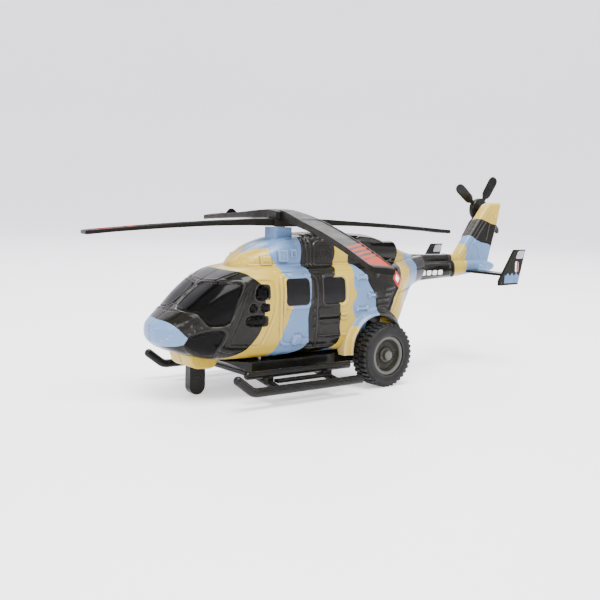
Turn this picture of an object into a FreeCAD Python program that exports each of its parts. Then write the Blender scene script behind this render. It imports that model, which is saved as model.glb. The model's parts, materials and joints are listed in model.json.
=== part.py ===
import FreeCAD, Part
import math
import os
import re
import Sketcher

# Toy helicopter, 1:1, millimetres. +X is forward, +Y is port (left), +Z is up, and the floor is z = 0.
# The two rear wheels and the nose peg stand on the floor. The hull is two half shells joined on y = 0.

V = FreeCAD.Vector
doc = FreeCAD.newDocument("toy_helicopter")

SIZES = {
    # running gear
    "tyre_radius": 11.6, "tyre_width": 8.7, "tyre_outer_y": 26.3, "rim_radius": 7.2,
    "axle_x": -1.6, "axle_radius": 1.0, "axle_half": 25.2, "tread_depth": 0.7, "tread_gap": 0.9,
    "tread_length": 2.8, "tread_count": 26,
    # hull and its openings
    "wall": 1.4, "well_radius": 12.1, "well_z": 13.4, "well_y": 15.2, "arch_radius": 13.3, "arch_y": 20.8,
    "arch_low_z": 11.8, "belly_z": 12.6, "window_z": 35.6, "window_length": 10.0, "window_height": 9.2,
    "front_window_x": 34.6, "rear_window_x": 18.4, "window_corner": 1.6, "window_recess": 0.45,
    "fin_half": 2.3, "chin_half": 7.0,
    # underside
    "base_low_z": 8.5, "base_thick": 3.9, "base_front_x": 58.0, "base_slope": 7.0, "base_rear_x": -14.0,
    "base_half": 16.6, "base_waist": 13.6, "base_waist_x": 14.0, "base_nose": 6.0, "head_sink": 1.0,
    "peg_x": 63.9, "peg_length": 6.0, "peg_thick": 3.2, "peg_height": 13.0,
    # skids
    "skid_y": 29.4, "skid_z": 5.3, "skid_radius": 1.55, "skid_rear_x": 14.5, "skid_bend_x": 60.0,
    "skid_tip_x": 66.0, "skid_tip_z": 9.8, "skid_bend": 5.0,
    "rail_y": 23.0, "rail_z": 9.5, "rail_radius": 1.35, "rail_front_x": 58.0, "rail_rear_x": 15.0,
    "board_y": 25.4, "board_z": 7.3, "board_width": 2.4, "board_thick": 1.0,
    "strut_radius": 1.2, "front_strut_x": 49.5, "rear_strut_x": 24.5, "strut_knee_y": 15.0, "strut_z": 7.6,
    # friction motor
    "case_rear_x": -8.0, "case_front_x": 21.5, "case_low_z": 5.9, "case_high_z": 31.6, "case_half": 7.6,
    "case_wall": 1.2, "arbor_radius": 0.9, "gear_module": 0.7, "axle_teeth": 10, "idler_teeth": 22,
    "pinion_teeth": 10, "barrel_teeth": 20, "idler_angle": 65, "barrel_angle": -30, "running": 0.05,
    # main rotor
    "mast_x": 28.7, "mast_z": 53.5, "mast_radius": 1.0, "lean_x": 0.027, "lean_y": 0.083,
    "collar_x": 30.2, "collar_length": 7.4, "collar_width": 7.0, "collar_low_z": 51.0, "collar_high_z": 57.0,
    "rotor_heading": -11.5, "blade_radius": 71.0, "blade_width": 9.0, "blade_root": 5.2, "hub_side": 6.6,
    "lower_z": 4.4, "upper_z": 6.8, "hub_thick": 2.4, "lower_droop": 3.7, "upper_droop": 8.7,
    # tail
    "plane_front_x": -66.3, "plane_rear_x": -73.8, "plane_z": 38.8, "plane_thick": 1.0, "plane_half": 22.7,
    "plate_thick": 1.2, "tail_x": -85.6, "tail_z": 64.9, "tail_y": -8.0, "tail_radius": 16.0,
    "tail_hub": 4.2, "tail_hub_thick": 3.0, "tail_heading": 35, "tail_pin": 1.0,
    # exhausts
    "exhaust_radius": 4.3, "exhaust_bore": 3.5, "exhaust_y": 7.0, "exhaust_z": 47.9, "exhaust_rear_x": -18.0,
    "exhaust_length": 20.0, "exhaust_depth": 3.0,
}

# Hull stations from the nose aft: x, half width, lowest z, highest z, z of the widest line, squareness.
STATIONS = {
    "cabin": [
        (81.5, 3.2, 20.0, 24.9, 22.5, 2.2), (80.1, 6.9, 18.6, 26.3, 22.6, 2.4),
        (77.3, 10.0, 16.9, 28.1, 22.8, 2.7),
        (72.5, 13.0, 15.0, 31.3, 23.5, 3.1), (66.5, 15.6, 13.6, 36.1, 24.6, 3.6),
        (60.0, 17.4, 12.8, 40.3, 26.0, 4.0),
        (52.0, 18.5, 12.6, 43.4, 27.2, 4.3), (42.0, 19.0, 12.6, 44.4, 28.0, 4.6),
        (12.0, 19.0, 12.6, 44.6, 28.0, 4.6),
        (-6.0, 18.8, 12.6, 44.6, 29.0, 4.4), (-13.0, 18.0, 15.6, 44.8, 31.0, 3.8),
        (-22.0, 13.4, 24.4, 45.2, 35.6, 3.0),
        (-31.0, 8.2, 32.4, 45.8, 39.6, 2.7), (-40.0, 4.8, 35.4, 46.0, 41.0, 2.6),
    ],
    "cowl": [
        (51.2, 3.0, 40.0, 44.8, 42.0, 2.4), (48.6, 7.0, 40.0, 46.9, 42.8, 2.8),
        (44.0, 9.8, 40.0, 49.3, 43.3, 3.2),
        (37.0, 11.6, 40.0, 52.0, 43.8, 3.6), (28.0, 12.2, 40.0, 53.9, 44.0, 4.0),
        (12.0, 12.2, 40.0, 55.0, 44.0, 4.0),
        (-4.0, 11.8, 40.0, 54.8, 44.0, 3.6), (-16.0, 10.2, 40.0, 52.4, 43.5, 3.0),
        (-27.0, 6.8, 40.0, 48.6, 43.0, 2.6),
        (-36.0, 4.0, 40.0, 46.2, 42.5, 2.4),
    ],
    "boom": [
        (-30.0, 5.2, 34.4, 44.2, 39.5, 3.0), (-44.0, 4.4, 35.6, 43.8, 39.6, 3.0),
        (-62.0, 3.9, 36.6, 43.6, 40.0, 3.0),
        (-74.0, 3.6, 37.9, 43.6, 40.6, 3.0), (-83.0, 3.1, 38.2, 42.6, 40.4, 2.6),
        (-86.4, 1.6, 39.2, 41.6, 40.4, 2.0),
    ],
    "spine": [
        (-30.0, 3.0, 41.0, 46.6, 43.5, 3.2), (-48.0, 2.5, 41.0, 46.1, 43.0, 3.2),
        (-66.0, 2.3, 41.0, 46.0, 43.0, 3.2),
    ],
}
STATION_FIELDS = ("x", "half", "low", "high", "mid", "square")
FIN_OUTLINE = [
    (-62.6, 44.0), (-63.2, 46.4), (-67.5, 51.8), (-79.3, 66.0), (-82.6, 67.8), (-88.9, 67.9), (-87.0, 59.2),
    (-85.8, 49.1), (-84.0, 42.0), (-72.0, 40.5),
]
CHIN_OUTLINE = [(59.0, 14.0), (60.2, 10.0), (62.4, 9.6), (67.6, 9.9), (69.2, 11.0), (70.4, 14.8)]
PLATE_OUTLINE = [(-64.0, 34.5), (-75.3, 34.7), (-79.2, 49.0), (-72.6, 49.0), (-63.9, 36.4)]
SHELL_SCREWS = [(66.0, 24.0), (3.0, 38.5), (-48.0, 39.6)]
BASE_SCREWS = [(44.5, 10.0), (-10.8, 10.0)]
SECTION_STEPS = 12
BLADE_STATIONS = [
    (0.04, 0.58, 2.4), (0.14, 0.66, 2.3), (0.25, 0.86, 2.0), (0.36, 1.0, 1.7), (0.6, 1.0, 1.5),
    (0.9, 1.0, 1.3), (0.985, 0.94, 1.2), (1.0, 0.7, 1.1),
]
# How each blade's droop grows along it: port pair first, and the far upper blade hangs straight.
SAG_POWERS = {"lower": (1.8, 1.8), "upper": (1.8, 1.0)}
# Each gear's lowest and highest y, and the drum that stands on the barrel's wheel.
GEAR_FACES = {
    "axle": (-5.0, -1.0), "idler": (-4.4, -1.6), "pinion": (-1.6, 3.0), "barrel": (0.4, 2.6), "drum": (2.6, 6.0),
}
UP = FreeCAD.Rotation()
ALONG_X = FreeCAD.Rotation(V(0, 1, 0), 90)
ALONG_Y = FreeCAD.Rotation(V(1, 0, 0), -90)
AGAINST_Y = FreeCAD.Rotation(V(1, 0, 0), 90)


def make_sheet():
    """The driving dimensions, one named cell each, and the hull stations as a table."""
    table = doc.addObject("Spreadsheet::Sheet", "sizes")
    rows = dict(SIZES)
    for part, stations in STATIONS.items():
        for index, values in enumerate(stations):
            for field, value in zip(STATION_FIELDS, values):
                rows[f"{part}_{index}_{field}"] = value
    for row, (alias, value) in enumerate(rows.items(), start=1):
        table.set(f"A{row}", alias.replace("_", " "))
        table.set(f"B{row}", str(value))
        table.setAlias(f"B{row}", alias)
    doc.recompute()
    return table


sheet = make_sheet()
nodes = []


def cell(alias):
    return float(sheet.get(alias))


def bound(text):
    """An expression on the sheet: every word in the text is a cell's alias."""
    return re.sub(r"[a-z][a-z_0-9]*", lambda word: "sizes." + word.group(), text)


def value(text):
    return float(sheet.evalExpression(bound(text)))


def node(item, name):
    """Marks an object as a sub-part, whose label names its file."""
    item.Label = name
    nodes.append(item)
    return item


def place(item, at, turn=UP):
    item.Placement = FreeCAD.Placement(V(0, 0, 0), turn)
    for axis, text in zip("xyz", at):
        item.setExpression(f"Placement.Base.{axis}", bound(text))
    return item


# Primitives and booleans bound to the sheet

def rod(name, radius, length, at, turn=UP):
    item = doc.addObject("Part::Cylinder", name)
    item.setExpression("Radius", bound(radius))
    item.setExpression("Height", bound(length))
    return place(item, at, turn)


def block(name, size, at):
    item = doc.addObject("Part::Box", name)
    for side, text in zip(("Length", "Width", "Height"), size):
        item.setExpression(side, bound(text))
    return place(item, at)


def cut(name, base, *tools):
    for index, tool in enumerate(tools):
        item = doc.addObject("Part::Cut", f"{name}_{index}")
        item.Base = base
        item.Tool = tool
        base = item
    return base


def join(name, *items):
    item = doc.addObject("Part::MultiFuse", name)
    item.Shapes = list(items)
    return item


def feature(name, shape):
    item = doc.addObject("Part::Feature", name)
    item.Shape = shape
    return item


# PartDesign bodies

def outline(body, role, name, points, lift="0"):
    """A closed polygon whose corners are bound to the sheet, on one of the body's origin planes."""
    sketch = body.newObject("Sketcher::SketchObject", name)
    plane = [item for item in body.Origin.OriginFeatures if item.Role == role][0]
    sketch.AttachmentSupport = [(plane, "")]
    sketch.MapMode = "FlatFace"
    sketch.setExpression("AttachmentOffset.Base.z", bound(lift))
    corners = [(value(across), value(up)) for across, up in points]
    count = len(points)
    for index, corner in enumerate(corners):
        sketch.addGeometry(Part.LineSegment(V(*corner, 0), V(*corners[(index + 1) % count], 0)), False)
    for index in range(count):
        sketch.addConstraint(Sketcher.Constraint("Coincident", index, 2, (index + 1) % count, 1))
    for index, (texts, corner) in enumerate(zip(points, corners)):
        for kind, text, size in zip(("DistanceX", "DistanceY"), texts, corner):
            number = sketch.addConstraint(Sketcher.Constraint(kind, -1, 1, index, 1, size))
            sketch.setExpression(f"Constraints[{number}]", bound(text))
    return sketch


def texts(points):
    return [(str(across), str(up)) for across, up in points]


def rectangle(x0, y0, x1, y1):
    return [(x0, y0), (x1, y0), (x1, y1), (x0, y1)]


def new_body(name):
    return doc.addObject("PartDesign::Body", name)


def pad(body, sketch, length, reverse=False, centred=False):
    item = body.newObject("PartDesign::Pad", sketch.Name + "_pad")
    item.Profile = sketch
    item.setExpression("Length", bound(length))
    item.Reversed = reverse
    if centred:
        item.SideType = "Symmetric"
    return item


def pocket(body, sketch, length, reverse=False, centred=False):
    """Cuts the sketch out of the body, and checks that something was cut."""
    doc.recompute()
    before = body.Shape.Volume
    item = body.newObject("PartDesign::Pocket", sketch.Name + "_pocket")
    item.Profile = sketch
    item.setExpression("Length", bound(length))
    item.Reversed = reverse
    if centred:
        item.SideType = "Symmetric"
    doc.recompute()
    if body.Shape.Volume >= before:
        raise ValueError(f"{sketch.Name} cuts nothing")
    return item


def turned(name, profile):
    """A body of revolution about its own Z axis: each point is radius, height."""
    body = new_body(name)
    sketch = outline(body, "XZ_Plane", name + "_profile", profile)
    item = body.newObject("PartDesign::Revolution", name + "_turn")
    item.Profile = sketch
    item.ReferenceAxis = (sketch, ["V_Axis"])
    item.Angle = 360
    return body


# Hull

def half_section(part, index, inset):
    """Half of one hull section as a closed wire on the port side of y = 0."""
    x, half, low, high, mid, square = (cell(f"{part}_{index}_{field}") for field in STATION_FIELDS)
    half, low, high = half - inset, low + inset, high - inset
    points = []
    for step in range(SECTION_STEPS + 1):
        angle = math.pi * (step / SECTION_STEPS - 0.5)
        across = half * abs(math.cos(angle)) ** (2 / square)
        rise = abs(math.sin(angle)) ** (2 / square)
        reach = high - mid if angle > 0 else low - mid
        points.append(V(x, across, mid + reach * rise))
    points[0].y = 0.0
    points[-1].y = 0.0
    curve = Part.BSplineCurve()
    curve.interpolate(points)
    return Part.Wire([curve.toShape(), Part.makeLine(points[-1], points[0])])


def half_hull(part, inset=0.0, skip_front=0, skip_rear=0):
    """The port half of one hull volume, lofted through its stations and set in by the inset."""
    stations = range(skip_front, len(STATIONS[part]) - skip_rear)
    return Part.makeLoft([half_section(part, index, inset) for index in stations], True, False)


def prism(points, y0, y1):
    """A solid between two y planes over an outline in x and z."""
    loop = [V(x, y0, z) for x, z in points]
    face = Part.Face(Part.makePolygon(loop + loop[:1]))
    return face.extrude(V(0, y1 - y0, 0))


def y_rod(radius, x, z, y0, y1):
    return Part.makeCylinder(radius, y1 - y0, V(x, y0, z), V(0, 1, 0))


def fin_half():
    """Half of the fin, with its outer edges rounded."""
    solid = prism(FIN_OUTLINE, 0, cell("fin_half"))
    rim = [edge for edge in solid.Edges if edge.BoundBox.YMin > cell("fin_half") - 0.01]
    return solid.makeFillet(0.9, rim)


def arch_half():
    """The raised lip round the wheel, above its low ends."""
    axle_x, reach = cell("axle_x"), cell("arch_radius")
    ring = y_rod(reach, axle_x, cell("well_z"), cell("well_y") - cell("wall"), cell("arch_y"))
    above = Part.makeBox(3 * reach, 2 * reach, 2 * reach, V(axle_x - 1.5 * reach, 0, cell("arch_low_z")))
    return ring.common(above)


def window_prism(x, grow, y0, y1):
    """A rounded rectangle over a side window, grown by the given amount."""
    length = cell("window_length") + 2 * grow
    height = cell("window_height") + 2 * grow
    box = Part.makeBox(length, y1 - y0, height, V(x - length / 2, y0, cell("window_z") - height / 2))
    corners = [edge for edge in box.Edges if edge.BoundBox.YLength > 1.0]
    return box.makeFillet(cell("window_corner"), corners)


def window_places():
    return [cell("front_window_x"), cell("rear_window_x")]


def mast_axis():
    return V(cell("lean_x"), cell("lean_y"), 1).normalize()


def mast_turn():
    """The turn from upright to the mast's lean."""
    return FreeCAD.Rotation(V(0, 0, 1), mast_axis())


def shell_outer():
    """The port half of the whole hull, solid."""
    fin, chin = fin_half(), prism(CHIN_OUTLINE, 0, cell("chin_half"))
    edges = [edge for edge in chin.Edges if edge.BoundBox.YMin > cell("chin_half") - 0.01]
    chin = chin.makeFillet(0.8, edges)
    cabin = half_hull("cabin")
    return cabin.fuse([half_hull("cowl"), half_hull("boom"), half_hull("spine"), fin, chin, arch_half()])


def well_space(grow, y0):
    """The wheel well, round above its centre and straight-sided below it."""
    radius, centre = cell("well_radius") + grow, cell("well_z")
    dome = y_rod(radius, cell("axle_x"), centre, y0, 30)
    return dome.fuse(Part.makeBox(2 * radius, 30 - y0, centre, V(cell("axle_x") - radius, y0, 0)))


def shell_bosses(outer):
    """Screw posts inside the hull, which end at y = 0, and the ribs for the base screws."""
    posts = [y_rod(2.2, x, z, 0, 19) for x, z in SHELL_SCREWS]
    for x, y in BASE_SCREWS:
        posts.append(Part.makeBox(4.4, 21.2 - y, 5.8, V(x - 2.2, y - 2.2, cell("belly_z") + 0.2)))
    return [outer.common(post) for post in posts]


def belly_opening():
    return Part.makeBox(71.5, 15, 9.6, V(-14.5, 0, cell("belly_z") - 6.2))


def shell_cuts():
    """The wheel well, the axle's way in and the window openings of the port side."""
    cuts = [well_space(0, cell("well_y"))]
    cuts.append(y_rod(cell("axle_radius") + 0.3, cell("axle_x"), cell("tyre_radius"), 0, 20))
    cuts += [window_prism(x, 0, 15, 22) for x in window_places()]
    return cuts


def fitted_cuts():
    """Cuts that match one other piece exactly: peg, mast collar, exhausts, tail plane and tail pin."""
    length, thick = cell("peg_length"), cell("peg_thick")
    peg = Part.makeBox(length, thick, cell("peg_height"), V(cell("peg_x") - length / 2, -thick / 2, 0))
    collar_x, long, wide = cell("collar_x"), cell("collar_length"), cell("collar_width")
    collar = Part.makeBox(long, wide, 10, V(collar_x - long / 2, -wide / 2, cell("collar_low_z")))
    front, rear, flat = cell("plane_front_x"), cell("plane_rear_x"), cell("plane_thick")
    plane = Part.makeBox(front - rear, 20, flat, V(rear, -10, cell("plane_z") - flat / 2))
    pin = y_rod(cell("tail_pin"), cell("tail_x"), cell("tail_z"), -10, 1.4)
    pipes = [
        Part.makeCylinder(cell("exhaust_radius"), cell("exhaust_length"),
                          V(cell("exhaust_rear_x"), side * cell("exhaust_y"), cell("exhaust_z")), V(1, 0, 0))
        for side in (1, -1)
    ]
    return [peg, collar, plane, pin] + pipes


def half_shell():
    """The port half: outer hull less the cavity, with its posts, less the openings."""
    wall = cell("wall")
    outer = shell_outer()
    rooms = [half_hull("cabin", wall, 2), half_hull("cowl", wall, 1, 1), half_hull("boom", wall, 0, 2)]
    cavity = rooms[0].fuse(rooms[1:]).cut(well_space(wall, cell("well_y") - wall))
    shell = outer.cut(cavity).cut(belly_opening()).fuse(shell_bosses(outer))
    return cut_each(shell, shell_cuts())


def cut_each(solid, tools):
    """Cuts the tools one after another, which keeps every wall's mesh closed."""
    for tool in tools:
        solid = solid.cut(tool)
    return solid


def screw_holes(side):
    """Holes for the shell screws: pilot holes to port, clearance holes with a counterbore to starboard."""
    holes = []
    for x, z in SHELL_SCREWS:
        if side > 0:
            holes.append(y_rod(0.75, x, z, 0, 3.0))
        else:
            holes.append(y_rod(0.9, x, z, -30, 0))
            holes.append(y_rod(1.5, x, z, -30, -2.6))
    for x, y in BASE_SCREWS:
        holes.append(Part.makeCylinder(0.75, 5, V(x, side * y, cell("belly_z") - 0.2)))
    return holes


def build_shells():
    port = half_shell()
    starboard = port.mirror(V(0, 0, 0), V(0, 1, 0))
    for name, half, side in (("fuselage_shell_left", port, 1), ("fuselage_shell_right", starboard, -1)):
        node(feature(name, cut_each(half, fitted_cuts() + screw_holes(side))), name)


def build_windows():
    """Each side's dark windows: two panes set into the wall and one flange behind it."""
    wall, recess = cell("wall"), cell("window_recess")
    behind = half_hull("cabin", wall + 0.9, 2)
    skin = half_hull("cabin", wall, 2).cut(behind)
    panes = half_hull("cabin", recess).cut(behind)
    front, rear = window_places()
    strip = window_prism((front + rear) / 2, 0, 14, 22)
    reach = (front - rear) / 2 + 1.2
    flange = Part.makeBox(2 * reach + cell("window_length"), 8, cell("window_height") + 2.4,
                          V((front + rear) / 2 - reach - cell("window_length") / 2, 14,
                            cell("window_z") - cell("window_height") / 2 - 1.2))
    solid = skin.common(flange.fuse(strip))
    solid = solid.fuse([panes.common(window_prism(x, 0, 14, 22)) for x in (front, rear)]).removeSplitter()
    node(feature("side_windows_left", solid), "side_windows_left")
    other = solid.mirror(V(0, 0, 0), V(0, 1, 0))
    node(feature("side_windows_right", other), "side_windows_right")


def build_exhausts():
    for name, side in (("exhaust_left", "exhaust_y"), ("exhaust_right", "-exhaust_y")):
        end = ("exhaust_rear_x", side, "exhaust_z")
        pipe = rod(name + "_pipe", "exhaust_radius", "exhaust_length", end, ALONG_X)
        bore = rod(name + "_bore", "exhaust_bore", "exhaust_depth", end, ALONG_X)
        node(cut(name, pipe, bore), name)


# Underside

def build_base():
    """The black base plate: an outline with a waist between the wheels, open for the motor case."""
    body = new_body("chassis_base_body")
    half = [("base_rear_x", "base_waist - 4"), ("base_rear_x + 4", "base_waist"),
            ("base_waist_x", "base_waist"),
            ("base_waist_x + 2", "base_half"), ("base_front_x - base_nose", "base_half"),
            ("base_front_x", "base_half - base_nose")]
    other = [(x, f"-({y})") for x, y in reversed(half)]
    plan = outline(body, "XY_Plane", "base_plan", half + other)
    pad(body, plan, "base_thick")
    room = rectangle("case_rear_x - 0.3", "-case_half - 0.3", "case_front_x + 0.3", "case_half + 0.3")
    pocket(body, outline(body, "XY_Plane", "case_opening", room), "base_thick + 1", reverse=True)
    saddle = rectangle("axle_x - axle_radius - 0.3", "tyre_radius - base_low_z - axle_radius - 0.3",
                       "axle_x + axle_radius + 0.3", "base_thick + 1")
    pocket(body, outline(body, "XZ_Plane", "axle_saddle", saddle), "50", centred=True)
    for side in (1, -1):
        for index, (x, y) in enumerate(BASE_SCREWS):
            hole = rectangle(f"{x} - 0.9", f"{side * y} - 0.9", f"{x} + 0.9", f"{side * y} + 0.9")
            name = f"base_hole_{index}_{'port' if side > 0 else 'starboard'}"
            pocket(body, outline(body, "XY_Plane", name, hole), "base_thick + 1", reverse=True)
            sink = rectangle(f"{x} - 1.7", f"{side * y} - 1.7", f"{x} + 1.7", f"{side * y} + 1.7")
            pocket(body, outline(body, "XY_Plane", name + "_sink", sink), "head_sink", reverse=True)
    slope = [("base_front_x - base_slope", "-0.1"), ("base_front_x + 0.1", "-0.1"),
             ("base_front_x + 0.1", "base_thick - 0.4")]
    pocket(body, outline(body, "XZ_Plane", "front_slope", slope), "50", centred=True)
    groove = rectangle("front_strut_x - strut_radius", "-0.5", "front_strut_x + strut_radius",
                       "strut_z + strut_radius - base_low_z")
    pocket(body, outline(body, "XZ_Plane", "front_groove", groove), "50", centred=True)
    groove = [(x.replace("front", "rear"), z) for x, z in groove]
    pocket(body, outline(body, "XZ_Plane", "rear_groove", groove), "50", centred=True)
    place(body, ("0", "0", "base_low_z"))
    node(body, "chassis_base")


def build_peg():
    """The nose peg: a flat post with a rounded foot."""
    low = ("peg_x", "-peg_thick / 2", "peg_length / 2")
    foot = rod("peg_foot", "peg_length / 2", "peg_thick", low, ALONG_Y)
    post = block("peg_post", ("peg_length", "peg_thick", "peg_height - peg_length / 2"),
                 ("peg_x - peg_length / 2", "-peg_thick / 2", "peg_length / 2"))
    node(join("nose_peg_joined", foot, post), "nose_peg")


def pipe_along(points, radius, bends):
    """A round bar along straight runs with a bend of the given radius at each inner corner."""
    edges, start = [], points[0]
    for index, bend in enumerate(bends, start=1):
        here, nxt = points[index], points[index + 1]
        before, after = (here - points[index - 1]).normalize(), (nxt - here).normalize()
        half_turn = before.getAngle(after) / 2
        trim = bend * math.tan(half_turn)
        a, b = here - before * trim, here + after * trim
        inward = (after - before).normalize()
        middle = here + inward * (bend / math.cos(half_turn) - bend)
        edges += [Part.LineSegment(start, a).toShape(), Part.Arc(a, middle, b).toShape()]
        start = b
    edges.append(Part.LineSegment(start, points[-1]).toShape())
    path = Part.Wire(edges)
    heading = (points[1] - points[0]).normalize()
    profile = Part.Wire(Part.makeCircle(radius, points[0], heading))
    return path.makePipeShell([profile], True, False)


def build_skids():
    """Port and starboard: the long skid with its raised tip, and the step rail inside it."""
    for name, side in (("left", 1), ("right", -1)):
        y = side * cell("skid_y")
        tip = V(cell("skid_tip_x"), y, cell("skid_tip_z"))
        points = [V(cell("skid_rear_x"), y, cell("skid_z")), V(cell("skid_bend_x"), y, cell("skid_z")), tip]
        tube = pipe_along(points, cell("skid_radius"), [cell("skid_bend")])
        ball = Part.makeSphere(cell("skid_radius"), tip)
        node(feature("skid_tube_" + name, tube.fuse(ball)), "skid_tube_" + name)
        rail_y = side * cell("rail_y")
        front = V(cell("rail_front_x"), rail_y, cell("rail_z"))
        rail = pipe_along([V(cell("rail_rear_x"), rail_y, cell("rail_z")), front], cell("rail_radius"), [])
        rail = rail.fuse(Part.makeSphere(cell("rail_radius"), front))
        node(feature("step_rail_" + name, rail), "step_rail_" + name)
        wide, rear_x = cell("board_width"), cell("rear_strut_x") + cell("strut_radius")
        long = cell("front_strut_x") - cell("strut_radius") - rear_x
        board = Part.makeBox(long, wide, cell("board_thick"), V(rear_x, side * cell("board_y") - wide / 2,
                                                               cell("board_z") - cell("board_thick") / 2))
        node(feature("step_board_" + name, board), "step_board_" + name)


def build_struts():
    """The cross tubes, which bend down to the skids and are notched round the tubes and rails."""
    for name in ("front", "rear"):
        x = cell(name + "_strut_x")
        knee, high, out, low = cell("strut_knee_y"), cell("strut_z"), cell("skid_y"), cell("skid_z")
        points = [V(x, -out, low), V(x, -knee, high), V(x, knee, high), V(x, out, low)]
        tube = pipe_along(points, cell("strut_radius"), [4.0, 4.0])
        tools = []
        for side in (1, -1):
            tools.append(Part.makeCylinder(cell("skid_radius"), 20, V(x - 10, side * out, low), V(1, 0, 0)))
            rail = V(x - 10, side * cell("rail_y"), cell("rail_z"))
            tools.append(Part.makeCylinder(cell("rail_radius"), 20, rail, V(1, 0, 0)))
            corner = V(x - 1.2, side * cell("rail_y") - 1.0, cell("rail_z") - 3.7)
            saddle = Part.makeBox(2.4, 2.0, 3.2, corner)
            tube = tube.fuse(saddle)
            reach = 3 * cell("skid_radius")
            y0 = side * out if side > 0 else side * out - reach
            tools.append(Part.makeBox(20, reach, 2 * reach, V(x - 10, y0, low - reach)))
        node(feature("cross_tube_" + name, tube.cut(tools).removeSplitter()), "cross_tube_" + name)


# Wheels

def build_wheels():
    tyre_profile = [("rim_radius", "0.4"), ("tyre_radius - 2.1", "0"), ("tyre_radius - 0.6", "0.3"),
                    ("tyre_radius", "1.3"), ("tyre_radius", "tyre_width - 1.3"),
                    ("tyre_radius - 0.6", "tyre_width - 0.3"), ("tyre_radius - 1.8", "tyre_width"),
                    ("rim_radius", "tyre_width - 0.4")]
    rim_profile = [("axle_radius", "0.9"), ("rim_radius", "0.9"), ("rim_radius", "8.0"),
                   ("rim_radius - 0.6", "8.5"),
                   ("rim_radius - 1.0", "7.0"), ("2.9", "6.8"), ("2.7", "8.4"), ("2.0", "9.2"), ("0", "9.4"),
                   ("0", "7.6"), ("axle_radius", "7.6")]
    for side, sign, turn in (("left", "", ALONG_Y), ("right", "-", AGAINST_Y)):
        at = ("axle_x", f"{sign}(tyre_outer_y - tyre_width)", "tyre_radius")
        tyre = turned("tyre_body_" + side, tyre_profile)
        doc.recompute()
        smooth = tyre.Shape.Volume
        gap = rectangle("tyre_radius - tread_depth", "-tread_gap / 2", "tyre_radius + 1", "tread_gap / 2")
        cuts = []
        for edge, lift in (("inner", "0"), ("outer", "tyre_width - tread_length")):
            sketch = outline(tyre, "XY_Plane", f"tread_{edge}_{side}", gap, lift)
            cuts.append(pocket(tyre, sketch, "tread_length", reverse=True))
        pattern = tyre.newObject("PartDesign::PolarPattern", "tread_" + side)
        pattern.Originals = cuts
        pattern.Axis = (cuts[0].Profile[0], ["N_Axis"])
        pattern.Angle = 360
        pattern.setExpression("Occurrences", bound("tread_count"))
        tyre.Tip = pattern
        doc.recompute()
        if tyre.Shape.Volume > smooth - 10 * cell("tread_depth"):
            raise ValueError("the tread isn't cut all round")
        node(place(tyre, at, turn), "tyre_" + side)
        node(place(turned("rim_body_" + side, rim_profile), at, turn), "wheel_rim_" + side)
    axle = rod("axle_rod", "axle_radius", "2 * axle_half", ("axle_x", "-axle_half", "tyre_radius"), ALONG_Y)
    node(axle, "rear_axle")


# Friction motor

def gear_plan(teeth, turn):
    """The outline of a spur gear with straight-sided teeth, in its own x and y, turned in degrees."""
    size = cell("gear_module")
    pitch = size * teeth / 2
    quarter = math.pi / 2 / teeth
    corners = [(pitch - 1.2 * size, -1.35), (pitch, -0.82), (pitch + 0.9 * size, -0.38),
               (pitch + 0.9 * size, 0.38), (pitch, 0.82), (pitch - 1.2 * size, 1.35)]
    points = []
    for tooth in range(int(teeth)):
        middle = math.radians(turn) + 2 * math.pi * tooth / teeth
        points += [(radius * math.cos(middle + share * quarter), radius * math.sin(middle + share * quarter))
                   for radius, share in corners]
    return points


def gear(teeth, turn, place_x, place_z, y0, y1):
    """A spur gear about an axis along y: outline angles run from +x towards +z."""
    outline_points = [(place_x + x, place_z + z) for x, z in gear_plan(teeth, turn)]
    return prism(outline_points, y0, y1)


def gear_places():
    """Axes of the axle gear, the idler and the barrel, in x and z."""
    size = cell("gear_module") / 2
    axle = (cell("axle_x"), cell("tyre_radius"))
    first = size * (cell("axle_teeth") + cell("idler_teeth"))
    angle = math.radians(cell("idler_angle"))
    idler = (axle[0] + first * math.cos(angle), axle[1] + first * math.sin(angle))
    second = size * (cell("pinion_teeth") + cell("barrel_teeth"))
    angle = math.radians(cell("barrel_angle"))
    barrel = (idler[0] + second * math.cos(angle), idler[1] + second * math.sin(angle))
    return axle, idler, barrel


def spiral_strip(inner, outer, turns, thick, y0, y1, centre):
    """A flat coil spring: a strip that winds outwards."""
    steps = int(turns * 16)
    edges = []
    for offset in (0.0, thick):
        points = []
        for step in range(steps + 1):
            angle = 2 * math.pi * turns * step / steps
            radius = inner + offset + (outer - inner - thick) * step / steps
            points.append(V(centre[0] + radius * math.cos(angle), y0, centre[1] + radius * math.sin(angle)))
        curve = Part.BSplineCurve()
        curve.interpolate(points)
        edges.append(curve.toShape())
    first, second = edges
    ends = [Part.makeLine(first.valueAt(first.FirstParameter), second.valueAt(second.FirstParameter)),
            Part.makeLine(first.valueAt(first.LastParameter), second.valueAt(second.LastParameter))]
    face = Part.Face(Part.Wire(Part.sortEdges([first, ends[0], second, ends[1]])[0]))
    return face.extrude(V(0, y1 - y0, 0))


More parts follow.
